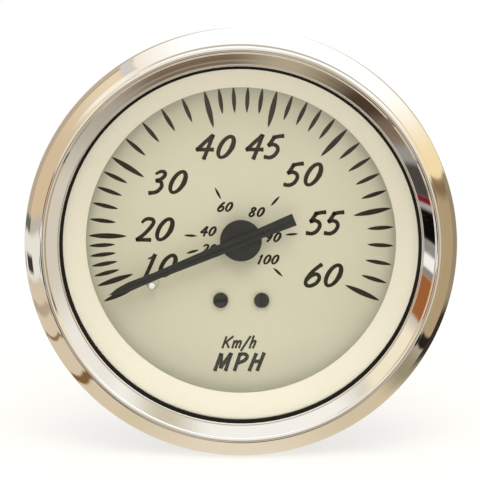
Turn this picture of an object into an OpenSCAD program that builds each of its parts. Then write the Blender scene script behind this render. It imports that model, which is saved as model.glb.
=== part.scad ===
// Round dash speedometer worked by water pressure, as an assembly of separate pieces.
// Sizes are in millimetres and angles in degrees. The dial faces -Y and +Z is up.
// The origin is on the dial's axis at the panel seat, the rear face of the panel gasket.

/* [Bezel] */
// Largest diameter of the rolled bezel
bezel_d = 101.6; // [90:0.1:115]
// Width of the sloping outer band, from the skirt in to the bead's crest
band_w = 4.4; // [4:0.1:5]
// Thickness of the bezel's sheet metal
bezel_wall = 0.8; // [0.7:0.05:0.9]
// Height of the bead above the lip
bead_rise = 1.55; // [1.3:0.05:1.9]
// Depth from the bead's crest back to the straight skirt
band_depth = 4.1; // [3.6:0.1:4.6]

/* [Case] */
// Width of the bezel's seat on the panel, from the case out to the skirt
seat_w = 8.3; // [7.5:0.1:9]
// Wall thickness of the case
case_wall = 2; // [1.7:0.1:2.4]
// Depth of the case behind the panel seat
case_depth = 38; // [36:0.5:46]
// Thickness of the flange that the bezel is rolled over
flange_t = 1.8; // [1.5:0.1:2.4]
// Thickness of the gasket between the bezel and the panel
panel_gasket_t = 1.2; // [0.8:0.1:2]

/* [Window] */
// Thickness of the glass
lens_t = 2; // [1.5:0.1:3]
// Thickness of the black gasket in front of the glass
lens_gasket_t = 0.8; // [0.6:0.1:1.2]
// Width of the trim cone, from the glass's edge in to its inner edge
trim_w = 5.3; // [4.5:0.1:6]
// Depth of the trim cone behind the glass
trim_depth = 4.7; // [4:0.1:5.4]
// Sheet thickness of the trim cone
trim_t = 0.8; // [0.6:0.1:1]

/* [Dial] */
// Depth of the dial's face behind the glass
dial_depth = 9.3; // [8.5:0.1:10.5]
// Thickness of the dial plate
dial_t = 0.8; // [0.6:0.1:1.2]
// Distance between the two dial screws
dial_screw_spacing = 9.8; // [9:0.1:12]
// Distance of the dial screws below the centre
dial_screw_drop = 15; // [14:0.1:17]
// Diameter of a dial screw's head
dial_screw_d = 3.6; // [3.2:0.1:4]

/* [Pointer] */
// Space between the pointer's tip and the trim cone's inner edge
pointer_gap = 2.6; // [2:0.1:4]
// Reach of the pointer's square tail from the centre
tail_len = 13.7; // [12:0.1:15]
// Width of the pointer beside the hub
pointer_w = 2.5; // [2:0.1:3]
// Diameter of the pointer's hub
hub_d = 9.9; // [9:0.1:11]
// Height of the pointer above the dial
pointer_rise = 4.3; // [3.8:0.1:5]
// Direction of the pointer at rest, counter-clockwise from three o'clock
pointer_rest = 202.6; // [200:0.1:206]
// Distance of the stop pin from the centre
stop_r = 23.7; // [22:0.1:25]
// Diameter of the stop pin
stop_d = 1.6; // [1.2:0.1:2]

/* [Movement] */
// Teeth on the pinion
pinion_teeth = 12; // [12:1:13]
// Teeth that a full circle of the sector would have
sector_teeth = 96; // [92:2:100]
// Turn of the pointer from the stop to the end of the scale
pointer_sweep = 246; // [230:1:255]
// Thickness of the movement's two plates
plate_t = 1; // [0.8:0.1:1.4]
// Space between the two plates
plate_gap = 9; // [8.5:0.1:10]
// Length of the posts between the movement and the dial
post_h = 3.5; // [3:0.1:5]

/* [Pressure tube] */
// Distance from the curved tube's centre line out to the case's bore
tube_inset = 9.5; // [8.5:0.1:10.5]
// Width of the flattened tube along the axis
tube_w = 9; // [8:0.1:10]
// Thickness of the flattened tube across its bend
tube_t = 2.4; // [2:0.1:2.8]
// Wall thickness of the tube
tube_wall = 0.4; // [0.3:0.05:0.5]

/* [Hose connection] */
// Distance of the inlet stem below the centre
stem_drop = 20; // [19:0.1:22]
// Diameter of the inlet stem's thread
stem_d = 10; // [9:0.1:11]
// Diameter over the hose barbs
barb_d = 7.2; // [6.4:0.1:8]
// Diameter of the water passage
passage_d = 2.6; // [2:0.1:3]

/* [Clamp] */
// Distance between the two mounting studs
stud_spacing = 52; // [48:1:56]
// Diameter of the mounting studs
stud_d = 4.1; // [3.8:0.1:5]
// Width of the clamp bracket's strip
bracket_w = 16; // [12:0.5:18]
// Thickness of the clamp bracket's strip
bracket_t = 1.6; // [1.2:0.1:2]
// Panel thickness at which the clamp is drawn
panel_t = 6; // [4:0.5:10]
// Diameter of the thumb nuts
thumb_nut_d = 14; // [12:0.5:16]

/* [Lamp] */
// Distance of the lamp holder above the centre
lamp_rise = 23.5; // [22.5:0.1:24]
// Diameter of the lamp holder's barrel
lamp_d = 12.6; // [11.5:0.1:13]

/* [Hidden] */
$fn = 96;
// clear space between neighbouring pieces, and radial play of turning and of fixed fits
gap = 0.3;
play = 0.05;
snug = 0.02;

// levels along the axis, counted forwards from the panel seat
crimp_z = panel_gasket_t;
flange_z = crimp_z + bezel_wall;
trim_z = flange_z + flange_t;
lens_z = trim_z + trim_t;
glass_z = lens_z + lens_t;
lip_z = glass_z + lens_gasket_t;
bead_z = lip_z + bezel_wall + bead_rise;
shoulder_z = bead_z - band_depth;
trim_edge_z = lens_z - trim_depth;
dial_z = lens_z - dial_depth;
dial_back_z = dial_z - dial_t;
front_z = dial_back_z - post_h - plate_t;
back_z = front_z - plate_gap;
block_z = back_z - plate_t;
blade_z = dial_z + pointer_rise;
floor_z = case_wall - case_depth;

// radii of the case, the window and the bezel
bezel_r = bezel_d / 2;
bead_r = bezel_r - band_w;
case_r = bezel_r - seat_w;
bore_r = case_r - case_wall;
trim_top_r = bore_r + 1.3;
window_r = trim_top_r - 0.1;
lip_r = window_r + 0.75;
lens_r = lip_r + 1.75;
rim_r = lens_r + gap;
rim_wall = 1.8;
flange_r = bezel_r - bezel_wall - gap;
crimp_r = case_r + 2;
relief = 0.3;
trim_r = trim_top_r - trim_w;
mouth = trim_top_r + 1.1 - bore_r;
dial_gap = 0.7;

// pointer and its axle
pointer_len = trim_r - pointer_gap;
blade_t = 0.5;
crease_h = 0.35;
hub_t = 1.2;
spindle_r = 0.8;
pivot_r = 0.6;
stop_a = pointer_rest + asin((pointer_w * 0.375 + stop_d / 2 + play) / stop_r);

// gear train, seen from the front
pressure_angle = 20;
backlash = 0.05;
tube_r = bore_r - tube_inset;
axle_distance = 0.6968 * tube_r;
gear_module = 2 * axle_distance / (pinion_teeth + sector_teeth);
pinion_r = gear_module * pinion_teeth / 2;
sector_r = gear_module * sector_teeth / 2;
sector_dir = -31.5;
sector_pivot = polar(axle_distance, sector_dir);
sector_pitch = 360 / sector_teeth;
sector_swing = pointer_sweep * pinion_teeth / sector_teeth;
teeth_ahead = 2;
teeth_behind = ceil(sector_swing / sector_pitch) + 1;
sector_t = 1.6;
sector_z = back_z + 4.7;
arm_len = 0.258 * tube_r;
link_pin_r = 0.7;
loose = 0.4;
link_t = 1;
link_z = back_z + 3;
link_foot = sector_pivot + polar(arm_len, -sector_swing / 2);

// pressure tube, from its free tip round to the socket
tip_a = 12;
socket_a = 263;
tube_z = block_z + 0.4 + tube_w / 2;
tip_inset = 4.6;
tip_side = -1.94;
link_head = turned(tip_a, [tube_r - tip_inset, tip_side]);
socket_depth = 4;
socket_in = turned(socket_a, [tube_r, socket_depth]);

// movement frame
pillars = tube_r * [[-0.39, 0.29], [-0.355, -0.32], [0.19, 0.45], [0.42, -0.66]];
pillar_r = 2;
block_screws_at = tube_r * [[-0.16, -0.53], [0.16, -0.53]];
plate_outline = rounded([tube_r * [-0.42, -0.79], tube_r * [0.5, -0.79],
    sector_pivot + tube_r * [0.135, -0.16], sector_pivot + tube_r * [0.135, 0.19],
    tube_r * [0.31, 0.6], tube_r * [-0.53, 0.435]], 0.11 * tube_r);
dial_screws_at = [for (s = [-1, 1]) [s * dial_screw_spacing / 2, -dial_screw_drop]];
rivet_r = 1.2;
post_r = 2.2;
collet_r = 1.7;
spring_turns = 4.5;
spring_pitch = 0.95;
spring_t = 0.18;
spring_h = 0.8;
spring_z = back_z + 1.2;
spring_stud_r = 0.4;

// small screws of the movement and of the dial, and the holes that take them
screw_r = 0.8;
screw_head_r = 1.8;
screw_head_h = 1;
screw_bite = 3;
dial_screw_r = 0.85;
dial_screw_bite = 2.2;
slot_w = 0.6;
tap_play = 0.05;
clear_play = 0.15;
hole_spare = 0.6;

// inlet, studs, clamp and lamp
stem_at = [0, -stem_drop];
stem_r = stem_d / 2;
block_h = 6;
block_w = 14;
riser_w = 7.2;
riser_l = 8;
spigot_r = 3.2;
spigot_h = 3;
collar_h = 2.5;
thread_spare = 1;
barbs = 3;
barb_pitch = 4.5;
barb_neck = 3;
barb_bite = 0.9;
barb_land = 1;
gallery_r = 1.1;
gallery_z = block_z - 2.5;
washer_t = 0.8;
stem_nut_t = 4;
studs_at = [for (s = [-1, 1]) [s * stud_spacing / 2, 0]];
stud_r = stud_d / 2;
stud_head_h = 1.5;
stud_nut_t = 3.2;
bracket_z = -case_depth - stud_nut_t - 3.2;
leg_x = case_r + 2;
thumb_nut_t = 5;
clamp_travel = 10;
thumb_nut_z = bracket_z - bracket_t - washer_t;
stud_end_z = thumb_nut_z - thumb_nut_t - clamp_travel - 0.5;
lamp_at = [0, lamp_rise];
lamp_r = lamp_d / 2;
lamp_cap = 3.5;
lamp_rim = 1.8;
lamp_neck = 5;
bulb_r = 2.6;
bulb_seat = 4;
terminal_t = 0.8;
terminal_w = 4.8;
terminal_l = 9;
terminal_gap = 7;
terminal_seat = 2;

// A point at a distance and a direction from the centre.
function polar(r, a) = [r * cos(a), r * sin(a)];

// A point turned about the centre.
function turned(a, p) = [p[0] * cos(a) - p[1] * sin(a), p[0] * sin(a) + p[1] * cos(a)];

// Points along a circle's arc.
function arc(c, r, a0, a1, n = 8) = [for (i = [0:n]) c + polar(r, a0 + (a1 - a0) * i / n)];

// Points from p to q along an arc that stands a height to the left of the straight way.
function bulge(p, q, height, n = 8) =
    let (way = q - p, len = norm(way), side = sign(height))
    let (r = (len * len / 4 + height * height) / (2 * abs(height)))
    let (left = [-way[1], way[0]] / len * side)
    let (c = (p + q) / 2 + left * (abs(height) - r))
    let (mid = atan2(left[1], left[0]), half = asin(len / 2 / r))
    [for (i = [0:n]) c + polar(r, mid + side * half * (1 - 2 * i / n))];

// The rounded corner at q between the ways to p and to s.
function corner(p, q, s, r, n = 6) =
    let (u = (p - q) / norm(p - q), v = (s - q) / norm(s - q), half = acos(u * v) / 2)
    let (c = q + (u + v) / norm(u + v) * r / sin(half))
    let (a = q + u * r / tan(half) - c, b = q + v * r / tan(half) - c)
    let (a0 = atan2(a[1], a[0]), turn = (atan2(b[1], b[0]) - a0 + 540) % 360 - 180)
    [for (i = [0:n]) c + polar(r, a0 + turn * i / n)];

// An outline with every corner rounded.
function rounded(pts, r) =
    let (n = len(pts))
    [for (i = [0:n - 1]) each corner(pts[(i + n - 1) % n], pts[i], pts[(i + 1) % n], r)];

// Half the angle that a gear tooth of so many teeth takes up at radius r.
function tooth_half(teeth, r) =
    let (pitch_r = gear_module * teeth / 2, base_r = pitch_r * cos(pressure_angle))
    let (at = acos(min(1, base_r / r)))
    90 / teeth - backlash / 2 / pitch_r * 180 / PI
        + tan(pressure_angle) * 180 / PI - pressure_angle - tan(at) * 180 / PI + at;

// One tooth's outline about direction a, from its root up and over to its root again.
function tooth(teeth, root_r, tip_r, a, n = 4) =
    let (rs = [for (i = [0:n]) root_r + (tip_r - root_r) * i / n])
    [for (r = rs) polar(r, a - tooth_half(teeth, r)),
     for (i = [n:-1:0]) polar(rs[i], a + tooth_half(teeth, rs[i]))];

// Turns a piece drawn as seen from the front so that its front faces -Y.
module facing() {
    rotate([90, 0, 0]) children();
}

// A round bar along the axis between two levels.
module bar(r, from_z, to_z, at = [0, 0]) {
    translate([at[0], at[1], from_z]) cylinder(r = r, h = to_z - from_z);
}

// A flat plate between two levels, of the outline drawn below it.
module slab(from_z, to_z) {
    translate([0, 0, from_z]) linear_extrude(to_z - from_z) children();
}

// A ring or a turned piece from an outline of radius and level.
module turned_piece(outline) {
    rotate_extrude() polygon(outline);
}

// A square-cut ring between two radii and two levels.
module ring(inner_r, outer_r, from_z, to_z, at = [0, 0]) {
    difference() {
        bar(outer_r, from_z, to_z, at);
        bar(inner_r, from_z - 1, to_z + 1, at);
    }
}

// A slotted screw with its head's underside at a level and its shank behind it.
module slotted_screw(at, head_z, head_r, head_h, shank_r, shank_len, slot_a) {
    difference() {
        union() {
            bar(head_r, head_z, head_z + head_h, at);
            bar(shank_r, head_z - shank_len, head_z + 0.1, at);
        }
        translate([at[0], at[1], head_z + head_h * 0.5])
            rotate(slot_a)
                translate([-head_r - 1, -slot_w / 2, 0])
                    cube([2 * head_r + 2, slot_w, head_h]);
    }
}

// Black cup: tube, flange under the bezel, rim around the glass, and back wall with its holes.
module case_shell() {
    edge = 1.5;
    color("#26282a") facing() difference() {
        turned_piece([[0, -case_depth], [case_r - edge, -case_depth], [case_r, edge - case_depth],
            [case_r, relief], [case_r - relief, 2 * relief], [case_r - relief, flange_z],
            [flange_r, flange_z], [flange_r, trim_z], [rim_r + rim_wall, trim_z],
            [rim_r + rim_wall, glass_z], [rim_r, glass_z], [rim_r, trim_z],
            [bore_r + mouth, trim_z], [bore_r, trim_z - mouth], [bore_r, floor_z], [0, floor_z]]);
        bar(stem_r + 0.2, -case_depth - 1, floor_z + 1, stem_at);
        bar(lamp_r + gap, -case_depth - 1, floor_z + 1, lamp_at);
        for (at = studs_at) bar(stud_r + 0.15, -case_depth - 1, floor_z + 1, at);
    }
}

// Chrome ring rolled from sheet: crimp, skirt, sloping band, bead, cove and lip.
module bezel() {
    turn = 1;
    nose = 0.3;
    bead = 1;
    bead_side = 37;
    band_top = [bead_r, bead_z - bead] + polar(bead, bead_side);
    band_foot = [bezel_r - 0.3, shoulder_z + 0.6];
    cove_top = [bead_r, bead_z - bead] + polar(bead, 180 - bead_side);
    cove_foot = [lip_r + nose + 0.15, lip_z + bezel_wall];
    front = [each arc([bezel_r - turn, crimp_z + turn], turn, -90, 0, 5),
        each bulge([bezel_r, shoulder_z], band_foot, -0.05, 3),
        each bulge(band_foot, band_top, -0.35, 8),
        each arc([bead_r, bead_z - bead], bead, bead_side, 180 - bead_side, 8),
        each bulge(cove_top, cove_foot, 0.08, 8),
        each arc([lip_r + nose, lip_z + bezel_wall - nose], nose, 90, 180, 4)];
    under = [[lip_r, lip_z], [lip_r + 1.05, lip_z],
        [bead_r - 0.7, bead_z - 0.45 - bezel_wall], [bead_r, bead_z - 0.15 - bezel_wall],
        [bead_r + 0.35, bead_z - 0.2 - bezel_wall], [bezel_r - bezel_wall - 0.1, shoulder_z - 0.1],
        [bezel_r - bezel_wall, shoulder_z - 0.5], [bezel_r - bezel_wall, flange_z]];
    color("#d8d4cc") facing()
        turned_piece([[crimp_r, crimp_z], each front, each under, [crimp_r, flange_z]]);
}

// Flat glass.
module lens() {
    color("#cfe4ea", 0.4) facing() bar(lens_r, lens_z, glass_z);
}

// Thin black ring between the glass and the bezel's lip.
module lens_gasket() {
    color("#15120f") facing() ring(window_r, lens_r, glass_z, lip_z);
}

// Cream cone from the glass down towards the dial, with a flange under the glass.
module trim_ring() {
    top = [trim_top_r, lens_z];
    edge = [trim_r, trim_edge_z];
    slope = (top - edge) / norm(top - edge);
    back = edge + [slope[1], -slope[0]] * trim_t;
    back_top = back + slope * (trim_z - back[1]) / slope[1];
    color("#e8dfc4") facing() turned_piece([edge, back, back_top, [lens_r, trim_z], [lens_r, lens_z], top]);
}

// Rubber ring that the panel is clamped against.
module panel_gasket() {
    color("#191919") facing() ring(case_r + 1.3, bezel_r - 1.4, 0, crimp_z);
}

// Cream disc with holes for the spindle, the two screws and the stop pin.
module dial_plate() {
    color("#cdc9ac") facing() difference() {
        bar(bore_r - dial_gap, dial_back_z, dial_z);
        bar(3 * spindle_r, dial_back_z - 1, dial_z + 1);
        for (at = dial_screws_at) bar(dial_screw_r + gap, dial_back_z - 1, dial_z + 1, at);
        bar(stop_d / 2 + snug, dial_back_z - 1, dial_z + 1, polar(stop_r, stop_a));
    }
}

// Two black screws that hold the dial on its posts.
module dial_screws() {
    slots = [4, 92];
    color("#1d1c1a") facing()
        for (i = [0, 1])
            slotted_screw(dial_screws_at[i], dial_z, dial_screw_d / 2, screw_head_h, dial_screw_r,
                dial_t + dial_screw_bite, slots[i]);
}

// Pale pin that the pointer rests against.
module stop_pin() {
    color("#efece0") facing() bar(stop_d / 2, dial_back_z, blade_z + 1, polar(stop_r, stop_a));
}

// Two tapped posts between the movement and the dial.
module dial_posts() {
    color("#b99a52") facing()
        for (at = dial_screws_at)
            difference() {
                bar(post_r, front_z + plate_t, dial_back_z, at);
                bar(dial_screw_r + tap_play, dial_back_z - dial_screw_bite - hole_spare, dial_back_z + 1, at);
            }
}

// Front plate of the movement.
module front_plate() {
    color("#c2a25a") facing() difference() {
        slab(front_z, front_z + plate_t) polygon(plate_outline);
        bar(spindle_r + play, front_z - 1, front_z + plate_t + 1);
        bar(pivot_r + play, front_z - 1, front_z + plate_t + 1, sector_pivot);
        for (at = pillars) bar(screw_r + clear_play, front_z - 1, front_z + plate_t + 1, at);
    }
}

// Back plate of the movement, which stands on the socket block.
module back_plate() {
    color("#b8954e") facing() difference() {
        slab(block_z, back_z) polygon(plate_outline);
        for (at = [[0, 0], sector_pivot]) bar(pivot_r + play, block_z - 1, back_z + 1, at);
        for (at = pillars) bar(rivet_r + snug, block_z - 1, back_z + 1, at);
        for (at = block_screws_at) bar(screw_r + clear_play, block_z - 1, back_z + 1, at);
        bar(spring_stud_r + snug, block_z - 1, back_z + 1, hairspring_stud_at());
    }
}

// Four pillars between the plates, riveted into the back plate.
module plate_pillars() {
    color("#c8ab66") facing()
        for (at = pillars)
            difference() {
                union() {
                    bar(pillar_r, back_z, front_z, at);
                    bar(rivet_r, block_z, back_z + 0.1, at);
                }
                bar(screw_r + tap_play, front_z - screw_bite - hole_spare, front_z + 1, at);
            }
}

// Screws through the front plate into the pillars.
module pillar_screws() {
    color("#8d8f92") facing()
        for (i = [0:len(pillars) - 1])
            slotted_screw(pillars[i], front_z + plate_t, screw_head_r, screw_head_h, screw_r,
                plate_t + screw_bite, 40 * i);
}

// Brass block: base under the movement, riser for the tube's fixed end, and the water passage.
module socket_block() {
    color("#b08d48") facing() difference() {
        union() {
            translate([-block_w / 2, -tube_r - 4.5, block_z - block_h])
                cube([block_w, 0.6 * tube_r + 4.5, block_h]);
            rotate(socket_a)
                translate([tube_r - riser_w / 2, 0, block_z - 1])
                    cube([riser_w, riser_l, tube_w + 2]);
        }
        bar(spigot_r + snug, block_z - block_h - 1, block_z - spigot_h, stem_at);
        bar(passage_d / 2, block_z - spigot_h - 0.1, gallery_z + 0.5, stem_at);
        translate([stem_at[0], stem_at[1], gallery_z])
            rotate(atan2(socket_in[1] - stem_at[1], socket_in[0] - stem_at[0]))
                rotate([0, 90, 0]) cylinder(r = gallery_r, h = norm(socket_in - stem_at) + 1);
        bar(gallery_r, gallery_z, tube_z + 0.8, socket_in);
        translate([0, 0, tube_z])
            rotate(socket_a)
                translate([tube_r, -1, 0])
                    rotate([-90, 0, 0]) cylinder(r = tube_t / 2 - tube_wall - 0.1, h = 1.2 + socket_depth);
        for (at = block_screws_at)
            bar(screw_r + tap_play, block_z - screw_bite - hole_spare, block_z + 1, at);
    }
}

// Two screws that hold the back plate on the block.
module block_screws() {
    color("#8d8f92") facing()
        for (i = [0, 1])
            slotted_screw(block_screws_at[i], back_z, screw_head_r, screw_head_h, screw_r,
                plate_t + screw_bite, 70 * i);
}

// Inlet: spigot in the block, shoulder inside the case, thread through its back, and hose barb.
module inlet_stem() {
    top = block_z - spigot_h;
    shelf = block_z - block_h;
    thread_end = -case_depth - washer_t - stem_nut_t - thread_spare;
    root_r = barb_d / 2 - barb_bite;
    side = [for (i = [barbs - 1:-1:0]) let (z = thread_end - barb_neck - barb_pitch * i)
        each [[root_r, z - barb_pitch], [barb_d / 2, z], [root_r, z]]];
    end_z = thread_end - barb_neck - barb_pitch * barbs - barb_land;
    color("#b6934c") facing() translate([stem_at[0], stem_at[1], 0])
        turned_piece([[passage_d / 2, end_z], each side,
            [root_r, thread_end], [stem_r, thread_end], [stem_r, floor_z], [1.6 * stem_r, floor_z],
            [1.6 * stem_r, floor_z + collar_h], [stem_r, floor_z + collar_h], [stem_r, shelf],
            [spigot_r, shelf], [spigot_r, top], [passage_d / 2, top]]);
}

// Fibre washer under the stem's nut.
module stem_washer() {
    color("#5b2f22") facing()
        ring(stem_r + 0.1, 1.68 * stem_r, -case_depth - washer_t, -case_depth, stem_at);
}

// Hexagon nut that holds the stem in the case's back.
module stem_nut() {
    color("#b6934c") facing() difference() {
        translate([stem_at[0], stem_at[1], -case_depth - washer_t - stem_nut_t])
            cylinder(r = 1.8 * stem_r, h = stem_nut_t, $fn = 6);
        bar(stem_r + play, -case_depth - 10, -case_depth, stem_at);
    }
}

// Flattened section of the pressure tube, smaller all round by an inset.
module tube_section(inset) {
    r = tube_t / 2 - inset;
    half = tube_w / 2 - tube_t / 2;
    translate([tube_r - r, -half]) square([2 * r, 2 * half]);
    for (s = [-1, 1]) translate([tube_r, s * half]) circle(r = r);
}

// Curved flattened tube that uncurls under pressure.
module bourdon_tube() {
    color("#a9793c") facing() translate([0, 0, tube_z]) rotate(tip_a)
        difference() {
            rotate_extrude(angle = socket_a - tip_a) tube_section(0);
            rotate_extrude(angle = socket_a - tip_a) tube_section(tube_wall);
        }
}

// Where the hairspring's outer end is pinned.
function hairspring_stud_at() = polar(spring_r(spring_turns) + 0.3, 360 * spring_turns);
function spring_r(turns) = collet_r + 0.1 + spring_pitch * turns;

// Flat spiral spring around the pointer's spindle.
module hairspring() {
    steps = 24 * spring_turns;
    side = [for (i = [0:steps]) let (t = i / 24) [spring_r(t), 360 * t]];
    color("#9fa3a8") facing() slab(spring_z, spring_z + spring_h)
        polygon([for (p = side) polar(p[0] - spring_t / 2, p[1]),
            for (i = [steps:-1:0]) polar(side[i][0] + spring_t / 2, side[i][1])]);
}

// Small post on the back plate that pins the hairspring.
module hairspring_stud() {
    color("#c8ab66") facing()
        bar(spring_stud_r, block_z, spring_z + spring_h + gap, hairspring_stud_at());
}

// Two flat blades of a thickness and a width between two levels, side by side in the lamp holder.
module lamp_blades(t, w, from_z, to_z) {
    for (s = [-1, 1])
        translate([lamp_at[0] + s * terminal_gap / 2 - t / 2, lamp_at[1] - w / 2, from_z])
            cube([t, w, to_z - from_z]);
}

// Moulded lamp holder pushed through the case's back.
module lamp_holder() {
    edge = 1;
    foot = -case_depth - lamp_cap;
    color("#2b2a28") facing() difference() {
        translate([lamp_at[0], lamp_at[1], 0])
            turned_piece([[0, foot], [lamp_r + lamp_rim - edge, foot], [lamp_r + lamp_rim, foot + edge],
                [lamp_r + lamp_rim, -case_depth], [lamp_r, -case_depth], [lamp_r, floor_z + 0.6 * lamp_neck],
                [lamp_r - edge, floor_z + lamp_neck], [0, floor_z + lamp_neck]]);
        bar(bulb_r + snug, floor_z + lamp_neck - bulb_seat, floor_z + lamp_neck + 1, lamp_at);
        lamp_blades(terminal_t + 2 * snug, terminal_w + 2 * snug, foot - 1, foot + terminal_seat);
    }
}

// Small bulb in the lamp holder.
module lamp_bulb() {
    color("#e9e2c8", 0.6) facing() translate([lamp_at[0], lamp_at[1], 0])
        turned_piece([[0, floor_z + lamp_neck - bulb_seat], [bulb_r, floor_z + lamp_neck - bulb_seat],
            [bulb_r, floor_z + lamp_neck + 0.4],
            each arc([0, floor_z + 2 * lamp_neck], 1.23 * bulb_r, -35, 90, 12)]);
}

// Two flat blades for the lamp's wires.
module lamp_terminals() {
    top = terminal_seat - lamp_cap - case_depth;
    color("#b9a060") facing() lamp_blades(terminal_t, terminal_w, top - terminal_l, top);
}

// Two headed studs through the case's back.
module mounting_studs() {
    color("#9a9da1") facing()
        for (at = studs_at) {
            bar(stud_r, stud_end_z, floor_z + 0.1, at);
            bar(2.15 * stud_r, floor_z, floor_z + stud_head_h, at);
        }
}

// Hexagon nuts that lock the studs to the case.
module stud_nuts() {
    color("#a4a7ab") facing()
        for (at = studs_at)
            difference() {
                translate([at[0], at[1], -case_depth - stud_nut_t])
                    cylinder(r = 2.45 * stud_r, h = stud_nut_t, $fn = 6);
                bar(stud_r + play, -case_depth - 10, -case_depth + 1, at);
            }
}

// Charcoal pointer with a square tail, a leaf-shaped end and a crease along its middle.
module pointer_blade() {
    half = pointer_w / 2;
    side = [[-tail_len, half * 1.2], [-tail_len * 0.35, half], [pointer_len * 0.2, half],
        [pointer_len * 0.65, half * 0.72], [pointer_len * 0.85, half * 0.86],
        [pointer_len * 0.93, half * 0.6]];
    color("#37373a") facing() rotate(pointer_rest) {
        slab(blade_z, blade_z + blade_t)
            polygon([for (p = side) p, [pointer_len, 0],
                for (i = [len(side) - 1:-1:0]) [side[i][0], -side[i][1]]]);
        translate([-tail_len, 0, blade_z + blade_t]) rotate([90, 0, 90])
            linear_extrude(tail_len + pointer_len * 0.93)
                polygon([[-half * 0.55, -0.1], [half * 0.55, -0.1], [half * 0.55, 0], [0, crease_h],
                    [-half * 0.55, 0]]);
    }
}

// Flat disc under the blade, with a boss pressed on the spindle.
module pointer_hub() {
    edge = 0.15;
    r = hub_d / 2;
    foot = blade_z - hub_t;
    color("#323235") facing() turned_piece([[spindle_r + snug, dial_z + 0.5], [1.9, dial_z + 0.5],
        [1.9, foot], [r - edge, foot], [r, foot + edge], [r, blade_z - edge], [r - edge, blade_z],
        [spindle_r + snug, blade_z]]);
}

// Axle of the pointer, with a thinner pivot in the back plate.
module pointer_spindle() {
    color("#9fa3a8") facing() turned_piece([[0, block_z - 0.2], [pivot_r, block_z - 0.2],
        [pivot_r, back_z + 0.2], [spindle_r, back_z + 0.2], [spindle_r, blade_z - 0.1],
        [0, blade_z - 0.1]]);
}

// Small toothed wheel on the spindle.
module pinion() {
    root_r = pinion_r - 0.95 * gear_module;
    tip_r = pinion_r + gear_module;
    outline = [for (i = [0:pinion_teeth - 1])
        each tooth(pinion_teeth, root_r, tip_r, sector_dir + (i + 0.5) * 360 / pinion_teeth)];
    color("#c9b070") facing() difference() {
        slab(sector_z - 0.8, sector_z + sector_t + 0.8) polygon(outline);
        bar(spindle_r + snug, sector_z - 2, sector_z + sector_t + 2);
    }
}

// Split collar that grips the hairspring's inner end.
module hairspring_collet() {
    color("#c9b070") facing() ring(spindle_r + snug, collet_r, spring_z - 0.4, spring_z + spring_h + 0.4);
}

// Toothed sector with a window in its web and a tail arm for the link.
module sector_gear() {
    root_r = sector_r - 1.25 * gear_module;
    tip_r = sector_r + 0.7 * gear_module;
    mesh_a = sector_dir + 180;
    first_a = mesh_a - teeth_behind * sector_pitch;
    last_a = mesh_a + teeth_ahead * sector_pitch;
    color("#c6a75f") facing() translate([sector_pivot[0], sector_pivot[1], sector_z])
        linear_extrude(sector_t)
            difference() {
                union() {
                    polygon([[0, 0], for (i = [-teeth_behind:teeth_ahead])
                        each tooth(sector_teeth, root_r, tip_r, mesh_a + i * sector_pitch)]);
                    circle(r = 3.4);
                    rotate(-sector_swing / 2) translate([0, -1.8]) square([arm_len, 3.6]);
                    translate(polar(arm_len, -sector_swing / 2)) circle(r = 1.8);
                }
                polygon([each arc([0, 0], 5.5, first_a + 12, last_a - 12),
                    each arc([0, 0], root_r - 2.6, last_a - 5, first_a + 5)]);
                circle(r = 1 + snug);
                translate(polar(arm_len, -sector_swing / 2)) circle(r = link_pin_r + snug);
            }
}

// Axle of the sector, with a pivot in each plate.
module sector_arbor() {
    color("#9fa3a8") facing() translate([sector_pivot[0], sector_pivot[1], 0])
        turned_piece([[0, block_z - 0.2], [pivot_r, block_z - 0.2], [pivot_r, back_z + 0.2],
            [1, back_z + 0.2], [1, front_z - 0.2], [pivot_r, front_z - 0.2],
            [pivot_r, front_z + plate_t + 0.2], [0, front_z + plate_t + 0.2]]);
}

// Headed pin, head behind the link and shank up to a level.
module headed_pin(at, head_r, top_z) {
    bar(head_r, link_z - gap - 0.5, link_z - gap, at);
    bar(link_pin_r, link_z - gap - 0.1, top_z, at);
}

// Pin on the sector's arm that carries the link.
module sector_pin() {
    color("#9fa3a8") facing() headed_pin(link_foot, 1.3, sector_z + sector_t);
}

// Flat link from the tube's tip to the sector's arm, with a loose eye at the tip.
module connecting_link() {
    way = link_head - link_foot;
    color("#b9bcc0") facing() slab(link_z, link_z + link_t)
        difference() {
            union() {
                translate(link_foot) rotate(atan2(way[1], way[0]))
                    translate([0, -1.6 * link_pin_r]) square([norm(way), 3.2 * link_pin_r]);
                translate(link_foot) circle(r = 2.6 * link_pin_r);
                translate(link_head) circle(r = 3 * link_pin_r);
            }
            translate(link_foot) circle(r = link_pin_r + play);
            translate(link_head) circle(r = link_pin_r + loose);
        }
}

// Block that closes the tube's free end, with a lug over the link.
module tip_block() {
    lug_z = link_z + link_t + gap;
    color("#b08d48") facing() rotate(tip_a) difference() {
        union() {
            translate([tube_r - tube_t / 2 - 0.6, -4.4, tube_z - tube_w / 2 - 0.3])
                cube([tube_t + 1.2, 4.4, tube_w + 0.6]);
            translate([tube_r - tip_inset - 1.7, tip_side - 1.7, lug_z]) cube([tip_inset, 3.4, 2]);
        }
        bar(link_pin_r + snug, lug_z - 1, lug_z + 3, [tube_r - tip_inset, tip_side]);
    }
}

// Pin in the tip block that works in the link's loose eye.
module tip_pin() {
    color("#9fa3a8") facing() headed_pin(link_head, 1.6, link_z + link_t + gap + 2);
}

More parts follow.
